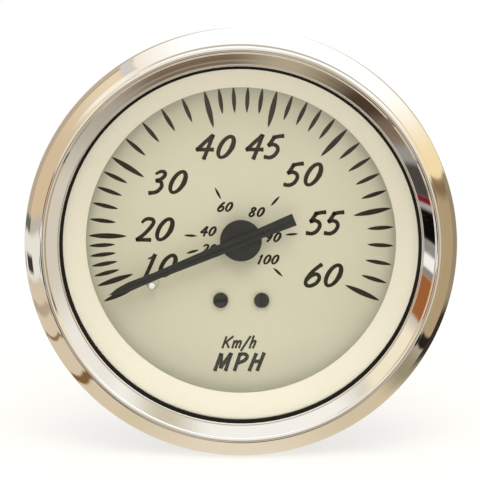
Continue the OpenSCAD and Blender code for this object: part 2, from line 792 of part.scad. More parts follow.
// Strip bent to a U: its base lies behind the case and its legs press on the panel.
module clamp_bracket() {
    bend = 1.5;
    outer = leg_x + bracket_t;
    rear = bracket_z - bracket_t;
    half_in = [[leg_x, -panel_t], each arc([leg_x - bend, bracket_z + bend], bend, 0, -90, 6)];
    half_out = [[outer, -panel_t],
        each arc([leg_x - bend, bracket_z + bend], bend + bracket_t, 0, -90, 6)];
    right = [for (i = [len(half_out) - 1:-1:0]) half_out[i], each half_in];
    n = len(right);
    color("#8f9296") facing() difference() {
        rotate([90, 0, 0])
            linear_extrude(bracket_w, center = true)
                polygon([each right, for (i = [n - 1:-1:0]) [-right[i][0], right[i][1]]]);
        for (at = studs_at) bar(stud_r + gap, rear - 1, bracket_z + 1, at);
    }
}

// Washers between the bracket and the thumb nuts.
module lock_washers() {
    color("#a4a7ab") facing()
        for (at = studs_at)
            ring(stud_r + gap, 2.3 * stud_r, thumb_nut_z, bracket_z - bracket_t, at);
}

// Round nut with a knurled edge and a plain boss.
module thumb_nut(at) {
    knurls = 30;
    knurl_h = 0.4;
    boss_h = 1;
    r = thumb_nut_d / 2;
    color("#b6934c") facing() difference() {
        union() {
            translate([at[0], at[1], thumb_nut_z - thumb_nut_t])
                linear_extrude(thumb_nut_t - boss_h)
                    polygon([for (i = [0:2 * knurls - 1])
                        polar(i % 2 == 0 ? r : r - knurl_h, i * 180 / knurls)]);
            bar(2.45 * stud_r, thumb_nut_z - boss_h - 0.1, thumb_nut_z, at);
        }
        bar(stud_r + play, thumb_nut_z - thumb_nut_t - 1, thumb_nut_z + 1, at);
    }
}

module thumb_nut_left() {
    thumb_nut(studs_at[0]);
}

module thumb_nut_right() {
    thumb_nut(studs_at[1]);
}

case_shell();
bezel();
lens();
lens_gasket();
trim_ring();
panel_gasket();
dial_plate();
dial_screws();
stop_pin();
dial_posts();
front_plate();
back_plate();
plate_pillars();
pillar_screws();
socket_block();
block_screws();
inlet_stem();
stem_washer();
stem_nut();
bourdon_tube();
hairspring();
hairspring_stud();
lamp_holder();
lamp_bulb();
lamp_terminals();
mounting_studs();
stud_nuts();
pointer_blade();
pointer_hub();
pointer_spindle();
pinion();
hairspring_collet();
sector_gear();
sector_arbor();
sector_pin();
connecting_link();
tip_block();
tip_pin();
clamp_bracket();
lock_washers();
thumb_nut_left();
thumb_nut_right();
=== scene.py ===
# %% [markdown]
# # A boat speedometer with a chrome bezel
# The instrument measures the pressure that water makes in a small tube under the hull. A bent bronze
# tube in the case opens with that pressure and turns the pointer. This lesson dresses the packed
# solids of the instrument: the front is rebuilt finely enough for mirror chrome and brush-drawn
# print, the back is softened at its edges, and the works keep their own solids with metal finishes.

# %% Load the frame
import math

import bmesh
import bpy
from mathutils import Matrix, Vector


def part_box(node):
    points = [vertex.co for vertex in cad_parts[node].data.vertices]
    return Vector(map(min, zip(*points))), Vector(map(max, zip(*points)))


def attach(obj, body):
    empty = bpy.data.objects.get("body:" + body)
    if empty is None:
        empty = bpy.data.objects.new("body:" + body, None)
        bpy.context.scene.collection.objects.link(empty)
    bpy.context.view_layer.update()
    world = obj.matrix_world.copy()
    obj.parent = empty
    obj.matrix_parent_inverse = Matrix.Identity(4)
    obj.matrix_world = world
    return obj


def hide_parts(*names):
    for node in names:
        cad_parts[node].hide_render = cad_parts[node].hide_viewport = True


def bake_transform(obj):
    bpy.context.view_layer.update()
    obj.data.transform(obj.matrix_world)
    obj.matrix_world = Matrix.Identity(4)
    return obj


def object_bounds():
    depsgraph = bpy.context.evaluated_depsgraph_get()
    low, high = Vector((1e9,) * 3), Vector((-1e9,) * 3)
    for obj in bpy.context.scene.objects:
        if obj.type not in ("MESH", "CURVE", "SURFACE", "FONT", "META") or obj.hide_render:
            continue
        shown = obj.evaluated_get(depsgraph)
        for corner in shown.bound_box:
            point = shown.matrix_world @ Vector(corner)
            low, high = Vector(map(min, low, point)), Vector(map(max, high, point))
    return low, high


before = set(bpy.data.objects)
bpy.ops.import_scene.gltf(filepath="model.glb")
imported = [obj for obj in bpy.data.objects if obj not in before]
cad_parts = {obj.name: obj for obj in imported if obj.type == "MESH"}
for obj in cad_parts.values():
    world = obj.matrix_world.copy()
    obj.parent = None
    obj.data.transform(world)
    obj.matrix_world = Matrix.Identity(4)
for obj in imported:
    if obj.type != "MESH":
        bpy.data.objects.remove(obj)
cad_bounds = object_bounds()
MM = 0.001

# %% [markdown]
# ## Reading sizes off the solids
# The dial faces the viewer along -Y, with +Z up. A level is a distance in front of the panel, so it
# grows towards the viewer. Most outer radii and levels come from the boxes of the solids, so they
# follow the solids when those change in size.

# %% Sizes from the solids
def front_level(node):
    """Level of the front face of a solid, in millimetres."""
    return -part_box(node)[0].y / MM


def back_level(node):
    """Level of the back face of a solid, in millimetres."""
    return -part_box(node)[1].y / MM


def outer_radius(node):
    """Half the width of a round solid, in millimetres."""
    low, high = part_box(node)
    return (high.x - low.x) / 2 / MM


def middle(node):
    """Place of the middle of a solid on the dial plane: millimetres to the right and up."""
    low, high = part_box(node)
    return ((low.x + high.x) / 2 / MM, (low.z + high.z) / 2 / MM)


BEZEL_RADIUS = outer_radius("bezel")
DIAL_LEVEL = front_level("dial_plate")
print("bezel radius", round(BEZEL_RADIUS, 2), "mm, dial at level", round(DIAL_LEVEL, 2), "mm")

# %% [markdown]
# ## Building node trees
# Every tree in the lesson, for shading or for geometry, is built with the same few helpers. A value
# that is a socket is linked, any other value is set.

# %% Node helpers
def add_node(tree, kind, inputs=None, **options):
    """Adds a node, sets its options, and sets or links its inputs."""
    made = tree.nodes.new(kind)
    for option, value in options.items():
        setattr(made, option, value)
    for key, value in (inputs or {}).items():
        if isinstance(value, bpy.types.NodeSocket):
            tree.links.new(value, made.inputs[key])
        else:
            made.inputs[key].default_value = value
    return made


def maths(tree, operation, first, second=0.0):
    """One Math node; shader trees and geometry trees share it."""
    return add_node(tree, "ShaderNodeMath", {0: first, 1: second}, operation=operation).outputs[0]


def ease(tree, value, start, end):
    """A soft step from 0 at start to 1 at end."""
    return add_node(tree, "ShaderNodeMapRange", {0: value, 1: start, 2: end},
                    interpolation_type="SMOOTHSTEP").outputs[0]


def mix_colours(tree, share, first, second):
    """The first colour, with a share of the second."""
    made = add_node(tree, "ShaderNodeMix", {0: share, 6: first, 7: second}, data_type="RGBA")
    return made.outputs[2]


def new_tree(name, kind, inputs, outputs):
    """A node tree with named sockets, and its input and output nodes."""
    tree = bpy.data.node_groups.new(name, kind)
    for way, sockets in (("INPUT", inputs), ("OUTPUT", outputs)):
        for socket, socket_kind in sockets.items():
            tree.interface.new_socket(socket, in_out=way, socket_type="NodeSocket" + socket_kind)
    return tree, tree.nodes.new("NodeGroupInput"), tree.nodes.new("NodeGroupOutput")


def screen_colour(red, green, blue):
    """A colour as a screen shows it (0 to 255), as the linear values that shaders use."""
    def linear(level):
        """The usual curve of screens, undone for one of the three parts."""
        part = level / 255
        return part / 12.92 if part <= 0.04045 else ((part + 0.055) / 1.055) ** 2.4
    return (linear(red), linear(green), linear(blue), 1.0)


print("white as linear values:", screen_colour(255, 255, 255)[:3])

# %% [markdown]
# ## Camera
# The instrument was pictured from a little above its axis and a touch to the right, with a long
# lens. The scale at the bezel and the place of its centre in a square image set the lens and aim.

# %% Camera
IMAGE_SIDE = 480
PIXELS_PER_MM = 4.256
CENTRE_PIXEL = (240.6, 244.9)
CAMERA_DISTANCE = 0.7
CAMERA_RISE = math.radians(9.8)
CAMERA_SWING = math.radians(0.8)
SENSOR = 36.0


def add_object(name, data):
    """A new object in the scene."""
    made = bpy.data.objects.new(name, data)
    bpy.context.scene.collection.objects.link(made)
    return made


def add_camera():
    """A camera whose view of the bezel has the scale and place given above."""
    data = bpy.data.cameras.new("camera")
    data.sensor_width = SENSOR
    data.lens = SENSOR * PIXELS_PER_MM * CAMERA_DISTANCE / MM / IMAGE_SIDE
    camera = add_object("camera", data)
    outward = Vector((math.sin(CAMERA_SWING) * math.cos(CAMERA_RISE),
                      -math.cos(CAMERA_SWING) * math.cos(CAMERA_RISE), math.sin(CAMERA_RISE)))
    turn = (-outward).to_track_quat("-Z", "Y")
    right, up = turn @ Vector((1, 0, 0)), turn @ Vector((0, 1, 0))
    bezel_middle = Vector((0, -(front_level("bezel") + back_level("bezel")) / 2 * MM, 0))
    aside = (IMAGE_SIDE / 2 - CENTRE_PIXEL[0]) / PIXELS_PER_MM * MM
    above = (CENTRE_PIXEL[1] - IMAGE_SIDE / 2) / PIXELS_PER_MM * MM
    camera.location = bezel_middle + outward * CAMERA_DISTANCE + right * aside + up * above
    camera.rotation_euler = turn.to_euler()
    bpy.context.scene.camera = camera
    return camera


camera = add_camera()
bpy.context.scene.view_settings.view_transform = "Standard"
print("lens", round(camera.data.lens, 1), "mm")

# %% [markdown]
# ## The room around the instrument
# Chrome has no colour of its own worth the name: it shows the room. The room here is a set of cards
# given by bearing (degrees round the instrument's axis, from the right, anticlockwise as the viewer
# sees it) and by how far they lie off the axis. The outer band shows the cards beside the instrument.
# Its outermost edge shows the part of them that lies behind the instrument, so some cards are only
# there, at the rim. The cove shows the cards ahead. Their axis dips by the camera's rise, so it is the
# line along which the flat front mirrors the viewer, and their edges run straight across the cove. A
# later card covers those before it. Only mirror and glass rays see the cards. The camera sees plain
# white, and matt surfaces get a plain even light.

# %% Room cards
LIGHT_COLOUR = (0.86, 0.85, 0.835, 1)
BACKGROUND_WHITE = (1, 1, 1, 1)
ROOM_GREY = screen_colour(196, 186, 170)
WHITE_CEILING = (1.12, 1.12, 1.1, 1)
BESIDE, RIM, AHEAD = (55, 180), (104, 180), (27, 57)
# name, colour, bearing, half width, softness of the edge, span off the axis; angles in degrees
CARDS_BESIDE = (
    ("warm wall on the right", screen_colour(250, 226, 176), 22, 30, 4, BESIDE),
    ("soft edge of the ceiling", WHITE_CEILING, 70, 40, 16, BESIDE),
    ("ceiling", WHITE_CEILING, 86, 42, 1.5, BESIDE),
    ("tan wall on the right", screen_colour(178, 156, 120), -13, 23, 0.8, BESIDE),
    ("brown strip on the right", screen_colour(136, 112, 80), 7, 2.6, 2.2, BESIDE),
    ("shade of the tan wall", screen_colour(154, 138, 112), -9, 19, 2, RIM),
    ("sandy floor", screen_colour(213, 197, 165), -92, 46, 5, BESIDE),
    ("light on the floor", screen_colour(232, 218, 194), -92, 18, 14, BESIDE),
    ("olive shade beside the floor", screen_colour(154, 144, 118), -45, 6, 5, BESIDE),
    ("black slit", screen_colour(40, 35, 30), -37, 1.8, 0.6, BESIDE),
    ("black edge", screen_colour(56, 48, 42), -35.5, 8, 3, RIM),
    ("sandy wall at the lower left", screen_colour(219, 201, 173), -140, 20, 3, BESIDE),
    ("brown slit", screen_colour(128, 98, 60), -132.3, 1.4, 0.6, BESIDE),
    ("thin brown slit", screen_colour(146, 116, 80), -144.7, 0.6, 0.3, BESIDE),
    ("tan slit", screen_colour(184, 166, 142), -152.5, 1.6, 0.8, BESIDE),
    ("pale pane", screen_colour(236, 231, 220), -166.8, 6.3, 1.5, BESIDE),
    ("dark bar on the pane", screen_colour(58, 58, 48), -165, 2.4, 1.0, (88, 116)),
    ("grey bar", screen_colour(104, 108, 96), -176, 2.4, 1.0, (98, 126)),
    ("sandy wall at the upper left", screen_colour(217, 193, 160), 154, 28, 1.5, BESIDE),
    ("light on the wall", screen_colour(240, 220, 190), 134, 12, 18, BESIDE),
    ("bright patch by the bead", screen_colour(253, 247, 232), 137, 12, 8, (50, 66)),
    ("shade of the sandy wall", screen_colour(190, 172, 146), 154, 28, 1.5, RIM),
    ("grey strip by the ceiling", screen_colour(214, 210, 204), 128.3, 2.2, 0.8, (66, 180)),
)
CARDS_AHEAD = (
    ("pale middle", screen_colour(204, 194, 178), 0, 200, 1, (6, 27)),
    ("dark centre", screen_colour(60, 53, 46), 0, 200, 1, (-5, 6)),
    ("light above the centre", screen_colour(196, 188, 174), 90, 50, 30, (2, 7)),
    ("brown ground", screen_colour(124, 107, 89), -88, 60, 10, AHEAD),
    ("light line of the ground", screen_colour(168, 151, 132), -82, 30, 12, (38, 40)),
    ("dark line of the ground", screen_colour(96, 80, 66), -92, 36, 12, (45, 46)),
    ("pale gap in the ground", screen_colour(178, 165, 140), -104, 9, 8, AHEAD),
    ("grey wall at the lower right", screen_colour(178, 168, 154), -42, 17, 11, AHEAD),
    ("pale wall on the right", screen_colour(216, 206, 190), 4, 40, 15, AHEAD),
    ("bright ceiling", screen_colour(251, 247, 240), 86, 46, 10, AHEAD),
    ("bright corner on the right", screen_colour(243, 238, 229), 31, 15, 12, AHEAD),
    ("beam of the ceiling", screen_colour(211, 201, 178), 66, 9, 8, AHEAD),
    ("dark corner at the lower left", screen_colour(74, 61, 47), -128, 6, 4, AHEAD),
    ("grey strip", screen_colour(152, 149, 144), -147.8, 3.4, 1.5, AHEAD),
    ("dark grey panel", screen_colour(76, 70, 66), -155.4, 5.6, 1.5, AHEAD),
    ("red strip", screen_colour(120, 24, 34), -161.4, 1.1, 0.4, AHEAD),
    ("pale strip beside the red", screen_colour(176, 166, 162), -163.5, 1.0, 0.4, AHEAD),
    ("black panel", screen_colour(12, 10, 9), -169.3, 5, 0.8, AHEAD),
    ("grey edge below the bright pane", screen_colour(146, 140, 136), -176.6, 2.2, 0.8, AHEAD),
    ("bright pane", screen_colour(250, 246, 242), 179.4, 2.3, 0.8, AHEAD),
    ("grey edge above the bright pane", screen_colour(142, 133, 126), 176.2, 1.1, 0.5, AHEAD),
    ("orange panel", screen_colour(158, 98, 54), 168.4, 6.6, 0.8, AHEAD),
    ("cream wall at the upper left", screen_colour(247, 235, 208), 147, 12, 4, AHEAD),
)
ZONE_EDGE = 1.5
FULL_TURN, HALF_TURN = 360, 180


def card_group():
    """Lays one card over the colours under it: a wedge of bearing within a span off the axis."""
    sizes = ("Bearing", "Off axis", "Centre", "Half width", "Edge", "Nearest", "Farthest")
    group, given, result = new_tree(
        "room_card", "ShaderNodeTree",
        {**{size: "Float" for size in sizes}, "Under": "Color", "Card": "Color"}, {"Colour": "Color"})
    value = given.outputs
    swung = maths(group, "SUBTRACT", value["Bearing"], value["Centre"])
    swung = maths(group, "MODULO", maths(group, "ADD", swung, FULL_TURN + HALF_TURN), FULL_TURN)
    away = maths(group, "ABSOLUTE", maths(group, "SUBTRACT", swung, HALF_TURN))
    wide = ease(group, away, maths(group, "ADD", value["Half width"], value["Edge"]),
                maths(group, "SUBTRACT", value["Half width"], value["Edge"]))
    beyond = ease(group, value["Off axis"], maths(group, "SUBTRACT", value["Nearest"], ZONE_EDGE),
                  maths(group, "ADD", value["Nearest"], ZONE_EDGE))
    within = ease(group, value["Off axis"], maths(group, "ADD", value["Farthest"], ZONE_EDGE),
                  maths(group, "SUBTRACT", value["Farthest"], ZONE_EDGE))
    mask = maths(group, "MULTIPLY", wide, maths(group, "MULTIPLY", beyond, within))
    group.links.new(mix_colours(group, mask, value["Under"], value["Card"]), result.inputs["Colour"])
    return group


def round_axis(tree, direction, dip):
    """Bearing round the axis and angle off it, in degrees; the axis dips below the level by an angle."""
    level = add_node(tree, "ShaderNodeVectorRotate", {"Vector": direction, "Angle": -dip},
                     rotation_type="X_AXIS").outputs[0]
    way = add_node(tree, "ShaderNodeSeparateXYZ", {0: level}).outputs
    bearing = maths(tree, "DEGREES", maths(tree, "ARCTAN2", way["Z"], way["X"]))
    off_axis = maths(tree, "ARCCOSINE", maths(tree, "MULTIPLY", way["Y"], -1))
    return bearing, maths(tree, "DEGREES", off_axis)


def add_room():
    """The world: white for the camera, the cards for mirrors and glass, even light for the rest."""
    world = bpy.data.worlds.new("room")
    world.use_nodes = True
    bpy.context.scene.world = world
    tree = world.node_tree
    tree.nodes.clear()
    direction = add_node(tree, "ShaderNodeTexCoord").outputs["Generated"]
    group = card_group()
    shown = ROOM_GREY
    for cards, dip in ((CARDS_BESIDE, 0.0), (CARDS_AHEAD, CAMERA_RISE)):
        bearing, off_axis = round_axis(tree, direction, dip)
        for name, colour, centre, half_width, edge, (nearest, farthest) in cards:
            shown = add_node(tree, "ShaderNodeGroup", {
                "Bearing": bearing, "Off axis": off_axis, "Centre": centre, "Half width": half_width,
                "Edge": edge, "Nearest": nearest, "Farthest": farthest, "Under": shown, "Card": colour,
            }, node_tree=group, label=name).outputs["Colour"]
    ray = add_node(tree, "ShaderNodeLightPath").outputs
    mirrored = maths(tree, "MAXIMUM", ray["Is Glossy Ray"], ray["Is Transmission Ray"])
    seen = mix_colours(tree, mirrored, LIGHT_COLOUR, shown)
    seen = mix_colours(tree, ray["Is Camera Ray"], seen, BACKGROUND_WHITE)
    background = add_node(tree, "ShaderNodeBackground", {"Color": seen, "Strength": 1.0})
    add_node(tree, "ShaderNodeOutputWorld", {"Surface": background.outputs[0]})


add_room()
print("room cards:", len(CARDS_BESIDE) + len(CARDS_AHEAD))

# %% [markdown]
# ## Lamps and floor
# One large soft lamp hangs above and in front of the instrument. It makes the lower half of the
# trim ring a little brighter than the upper half. The floor is a plain pale card under the bezel that
# fades out, so the white background runs on behind it and only the soft shadow is left. Part of its
# paleness is a glow of its own, which keeps the shadow light.

# %% Lamp
KEY_SHARE = 0.4
KEY_PLACE = Vector((0.05, -0.55, 0.62))
KEY_SIDE = 0.5


def add_soft_lamp(name, place, side, share):
    """A square lamp aimed at the instrument; a white sheet facing it shows the share given."""
    data = bpy.data.lights.new(name, "AREA")
    data.size = side
    data.energy = share * math.pi ** 2 * place.length_squared
    lamp = add_object(name, data)
    lamp.location = place
    lamp.rotation_euler = (-place).to_track_quat("-Z", "Y").to_euler()
    lamp.visible_glossy = False
    return lamp


key_lamp = add_soft_lamp("key_lamp", KEY_PLACE, KEY_SIDE, KEY_SHARE)
print("key lamp", round(key_lamp.data.energy, 2), "W")

# %% Floor
FLOOR_GAP = 0.2 * MM
FLOOR_FADE = (0.10, 0.24)
FLOOR_STEPS = 64
FLOOR_COLOUR, FLOOR_SHADE = (0.34, 0.33, 0.305, 1), (0.32, 0.31, 0.285, 1)
FLOOR_GLOW, FLOOR_LIFT = (1, 0.99, 0.97, 1), 0.72
FLOOR_GRAIN = 400.0
FLOOR_ROUGHNESS, FLOOR_GLOSS = 0.9, 0.1


def new_material(name, values):
    """A material, its node tree, and its surface shader with plain values set on its sockets."""
    material = bpy.data.materials.new(name)
    material.use_nodes = True
    shader = material.node_tree.nodes["Principled BSDF"]
    for socket, value in values.items():
        shader.inputs[socket].default_value = value
    return material, material.node_tree, shader


def let_through(tree, share, shader):
    """Makes a surface clear by a share, from 0 to 1."""
    clear = add_node(tree, "ShaderNodeBsdfTransparent").outputs[0]
    mix = add_node(tree, "ShaderNodeMixShader", {0: share, 1: shader.outputs[0], 2: clear})
    tree.links.new(mix.outputs[0], tree.nodes["Material Output"].inputs["Surface"])


def floor_finish():
    """Pale card with a faint grain that turns clear away from the instrument."""
    material, tree, card = new_material("floor_card", {
        "Roughness": FLOOR_ROUGHNESS, "Specular IOR Level": FLOOR_GLOSS,
        "Emission Color": FLOOR_GLOW, "Emission Strength": FLOOR_LIFT})
    place = add_node(tree, "ShaderNodeTexCoord").outputs["Object"]
    grain = add_node(tree, "ShaderNodeTexNoise", {"Vector": place, "Scale": FLOOR_GRAIN}).outputs["Fac"]
    tree.links.new(mix_colours(tree, grain, FLOOR_COLOUR, FLOOR_SHADE), card.inputs["Base Color"])
    distance = add_node(tree, "ShaderNodeVectorMath", {0: place}, operation="LENGTH").outputs["Value"]
    let_through(tree, ease(tree, distance, *FLOOR_FADE), card)
    return material


def add_floor():
    """A round sheet under the bezel, seen by the camera but not by the chrome."""
    mesh = bpy.data.meshes.new("floor")
    work = bmesh.new()
    bmesh.ops.create_circle(work, cap_ends=True, segments=FLOOR_STEPS, radius=FLOOR_FADE[1])
    bmesh.ops.translate(work, verts=work.verts, vec=(0, 0, cad_bounds[0][2] - FLOOR_GAP))
    work.to_mesh(mesh)
    work.free()
    floor = add_object("floor", mesh)
    mesh.materials.append(floor_finish())
    floor.visible_glossy = False
    return floor


floor = add_floor()
print("floor of", FLOOR_FADE[1], "m radius, clear at its edge")

# %% [markdown]
# ## Finishes
# Two effects come back on almost every surface. Tone drift is the slow and fine change of colour
# that paint, plating and cast metal have. Hair marks are the fine scratches that handling leaves.
# Both are node groups, and one function joins them into a finish, so each material below is only a
# few values: colours, roughness, and how strong the drift, the marks and the relief are.

# %% Shared effects
PATCH_EDGES = (0.3, 0.7)
PATCH_SHARE, GRAIN_SHARE = 0.6, 0.4
HAIR_TURN, HAIR_DRAW = (0.4, 0.7, 0.2), (1.0, 1.0, 18.0)
HAIR_PEAKS = (0.62, 0.72)
HAIR_DENSITY = 160.0
RELIEF_STEP = 0.05 * MM


def tone_drift_group():
    """Two scales of noise that lean a colour towards its shade."""
    group, given, result = new_tree(
        "tone_drift", "ShaderNodeTree",
        {"Colour": "Color", "Shade": "Color", "Patches": "Float", "Grain": "Float", "Amount": "Float"},
        {"Colour": "Color", "Patch": "Float", "Grain": "Float"})
    value = given.outputs
    place = add_node(group, "ShaderNodeTexCoord").outputs["Object"]
    patch = add_node(group, "ShaderNodeTexNoise",
                     {"Vector": place, "Scale": value["Patches"], "Detail": 3.0}).outputs["Fac"]
    grain = add_node(group, "ShaderNodeTexNoise",
                     {"Vector": place, "Scale": value["Grain"], "Detail": 2.0}).outputs["Fac"]
    both = maths(group, "ADD", maths(group, "MULTIPLY", ease(group, patch, *PATCH_EDGES), PATCH_SHARE),
                 maths(group, "MULTIPLY", grain, GRAIN_SHARE))
    share = maths(group, "MULTIPLY", both, value["Amount"])
    group.links.new(mix_colours(group, share, value["Colour"], value["Shade"]), result.inputs["Colour"])
    group.links.new(patch, result.inputs["Patch"])
    group.links.new(grain, result.inputs["Grain"])
    return group


def hair_marks_group():
    """Thin scratches: noise drawn out along one way and cut to its peaks."""
    group, given, result = new_tree("hair_marks", "ShaderNodeTree", {"Density": "Float"}, {"Mask": "Float"})
    place = add_node(group, "ShaderNodeTexCoord").outputs["Object"]
    drawn = add_node(group, "ShaderNodeMapping",
                     {"Vector": place, "Rotation": HAIR_TURN, "Scale": HAIR_DRAW}).outputs[0]
    noise = add_node(group, "ShaderNodeTexNoise",
                     {"Vector": drawn, "Scale": given.outputs["Density"], "Detail": 4.0}).outputs["Fac"]
    group.links.new(ease(group, noise, *HAIR_PEAKS), result.inputs["Mask"])
    return group


TONE_DRIFT = tone_drift_group()
HAIR_MARKS = hair_marks_group()


def finish(name, colour, shade, roughness, metallic=0.0, patches=70.0, grain=900.0, drift=0.5,
           rough_drift=0.1, marks=0.0, relief=0.0, coat=0.0, specular=0.5):
    """A solid finish built on the two shared effects."""
    material, tree, shader = new_material(name, {
        "Metallic": metallic, "Coat Weight": coat, "Specular IOR Level": specular})
    tone = add_node(tree, "ShaderNodeGroup", {
        "Colour": colour, "Shade": shade, "Patches": patches, "Grain": grain, "Amount": drift,
    }, node_tree=TONE_DRIFT).outputs
    scratch = add_node(tree, "ShaderNodeGroup", {"Density": HAIR_DENSITY},
                       node_tree=HAIR_MARKS).outputs["Mask"]
    tree.links.new(tone["Colour"], shader.inputs["Base Color"])
    rough = maths(tree, "MULTIPLY", tone["Patch"], rough_drift)
    rough = maths(tree, "ADD", roughness - rough_drift / 2, rough)
    rough = maths(tree, "ADD", rough, maths(tree, "MULTIPLY", scratch, marks))
    tree.links.new(rough, shader.inputs["Roughness"])
    if relief:
        bump = add_node(tree, "ShaderNodeBump",
                        {"Height": tone["Grain"], "Strength": relief, "Distance": RELIEF_STEP})
        tree.links.new(bump.outputs[0], shader.inputs["Normal"])
    return material


print("shared effects:", TONE_DRIFT.name, HAIR_MARKS.name)

# %% [markdown]
# ## Metals
# The bezel is spun brass with bright chrome plate, close to a mirror. The works are sawn and turned
# brass, the pressure tube is phosphor bronze, and the rest is zinc-plated steel.

# %% Metal finishes
chrome = finish("bright_chrome", (0.95, 0.945, 0.935, 1), (0.88, 0.875, 0.86, 1), 0.035, 1.0,
                patches=40.0, drift=0.5, rough_drift=0.03, marks=0.05)
movement_brass = finish("sawn_brass", (0.80, 0.58, 0.24, 1), (0.56, 0.37, 0.14, 1), 0.30, 1.0,
                        patches=120.0, drift=0.7, rough_drift=0.15, marks=0.15)
fitting_brass = finish("turned_brass", (0.74, 0.54, 0.24, 1), (0.42, 0.27, 0.11, 1), 0.34, 1.0,
                       patches=90.0, drift=0.9, rough_drift=0.2, marks=0.2, relief=0.15)
tube_bronze = finish("drawn_bronze", (0.72, 0.42, 0.22, 1), (0.46, 0.24, 0.12, 1), 0.28, 1.0,
                     patches=80.0, drift=0.8, rough_drift=0.15, marks=0.1)
terminal_brass = finish("tinned_terminal", (0.78, 0.70, 0.52, 1), (0.60, 0.48, 0.28, 1), 0.32, 1.0,
                        patches=150.0, drift=0.8, rough_drift=0.15, marks=0.2)
steel = finish("zinc_plated_steel", (0.66, 0.67, 0.68, 1), (0.44, 0.45, 0.45, 1), 0.34, 1.0,
               patches=110.0, drift=0.8, rough_drift=0.2, marks=0.15, relief=0.1)
print("metals:", ", ".join(metal.name for metal in (chrome, movement_brass, fitting_brass, tube_bronze,
                                                    terminal_brass, steel)))

# %% [markdown]
# ## Paint, plastic, rubber and fibre
# The dial is a steel disc sprayed cream and printed with dark ink. The trim ring round it is a
# lighter ivory. The pointer is charcoal paint on folded brass sheet, and the cup is black enamel.

# %% Paint and plastic finishes
dial_cream = finish("cream_paint", (0.69, 0.65, 0.48, 1), (0.63, 0.59, 0.43, 1), 0.55,
                    patches=45.0, grain=1500.0, drift=0.6, relief=0.06)
dial_ink = finish("dial_ink", (0.028, 0.023, 0.014, 1), (0.040, 0.034, 0.023, 1), 0.6,
                  patches=300.0, grain=2500.0, drift=0.8, specular=0.08)
ivory_trim = finish("ivory_trim", (0.92, 0.86, 0.695, 1), (0.88, 0.815, 0.645, 1), 0.42,
                    patches=50.0, drift=0.6, relief=0.03)
pointer_charcoal = finish("charcoal_paint", (0.023, 0.0225, 0.020, 1), (0.032, 0.034, 0.030, 1), 0.45,
                          patches=150.0, drift=0.7, relief=0.1, specular=0.35)
screw_black = finish("blackened_screw", (0.022, 0.021, 0.020, 1), (0.045, 0.042, 0.039, 1), 0.4,
                     patches=400.0, drift=0.7, marks=0.1, specular=0.35)
case_enamel = finish("case_enamel", (0.018, 0.018, 0.019, 1), (0.030, 0.029, 0.028, 1), 0.32,
                     patches=60.0, drift=0.7, rough_drift=0.12, marks=0.15, relief=0.12, coat=0.2)
lamp_black = finish("lamp_moulding", (0.020, 0.019, 0.019, 1), (0.034, 0.032, 0.030, 1), 0.45,
                    patches=120.0, drift=0.6, relief=0.1)
black_rubber = finish("moulded_rubber", (0.008, 0.006, 0.005, 1), (0.016, 0.014, 0.012, 1), 0.75,
                      patches=200.0, drift=0.7, relief=0.25, specular=0.2)
# the pin's pale white colour is a painted highlight: it stands in for the bright glint of a clear pin
pin_painted_highlight = finish("pin_painted_highlight", (0.86, 0.85, 0.78, 1), (0.78, 0.76, 0.66, 1), 0.12,
                   patches=600.0, drift=0.6, coat=0.6)
red_fibre = finish("red_fibre", (0.26, 0.07, 0.05, 1), (0.17, 0.05, 0.04, 1), 0.7,
                   patches=300.0, grain=2500.0, drift=0.8, relief=0.3)
dial_colour = dial_cream.node_tree.nodes["Group"].inputs["Colour"].default_value
print("dial colour", [round(part, 3) for part in dial_colour])

# %% [markdown]
# ## Glass
# The window is a flat disc of clear glass, the lamp has a glass bulb, and the pin that stops the
# pointer has a sleeve of clear plastic. Shadow rays pass straight through them, so the dial behind
# the window is lit as if by open light, and what is left to see of the glass is its faint reflection.

# %% Glass finishes
GLASS_BEND = 1.5
HAZE = {"Patches": 40.0, "Grain": 700.0, "Amount": 0.5}


def clear_finish(name, colour, haze, roughness):
    """Clear glass: bent light for the eye, open to light that only falls through it."""
    material, tree, shader = new_material(name, {"Transmission Weight": 1.0, "IOR": GLASS_BEND})
    tone = add_node(tree, "ShaderNodeGroup", {"Colour": colour, "Shade": haze, **HAZE},
                    node_tree=TONE_DRIFT).outputs
    tree.links.new(tone["Colour"], shader.inputs["Base Color"])
    tree.links.new(maths(tree, "MULTIPLY", tone["Patch"], roughness), shader.inputs["Roughness"])
    ray = add_node(tree, "ShaderNodeLightPath").outputs
    let_through(tree, maths(tree, "MAXIMUM", ray["Is Shadow Ray"], ray["Is Diffuse Ray"]), shader)
    return material


window_glass = clear_finish("window_glass", (0.985, 0.995, 0.985, 1), (0.97, 0.985, 0.97, 1), 0.004)
lamp_glass = clear_finish("bulb_glass", (0.99, 0.98, 0.95, 1), (0.96, 0.95, 0.92, 1), 0.02)
sleeve_plastic = clear_finish("sleeve_plastic", (0.98, 0.985, 0.975, 1), (0.95, 0.955, 0.94, 1), 0.05)
print("clear finishes:", window_glass.name, lamp_glass.name, sleeve_plastic.name)

# %% [markdown]
# ## Making pieces
# A piece is one mesh that rides one body of the frame and stands for the solids it replaces. Solids
# that are hidden or already fine enough only take a finish.

# %% Piece helpers
EDGE_ANGLE, FLAT_ANGLE = math.radians(32), math.radians(0.4)
MERGE, SOLID_MERGE = 1e-7, 1e-6
LARGE_FACES_LEAD = 100
PRINTED_ON = "dial_plate"


def add_piece(name, mesh, material, body, *replaced, carrier=PRINTED_ON):
    """Puts a finished mesh on a body, in place of the solids named or as an addition. The carrier is not
    used.
    """
    piece = add_object(name, mesh)
    if not mesh.materials:
        mesh.materials.append(material)
    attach(piece, body)
    if replaced:
        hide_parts(*replaced)
    return piece


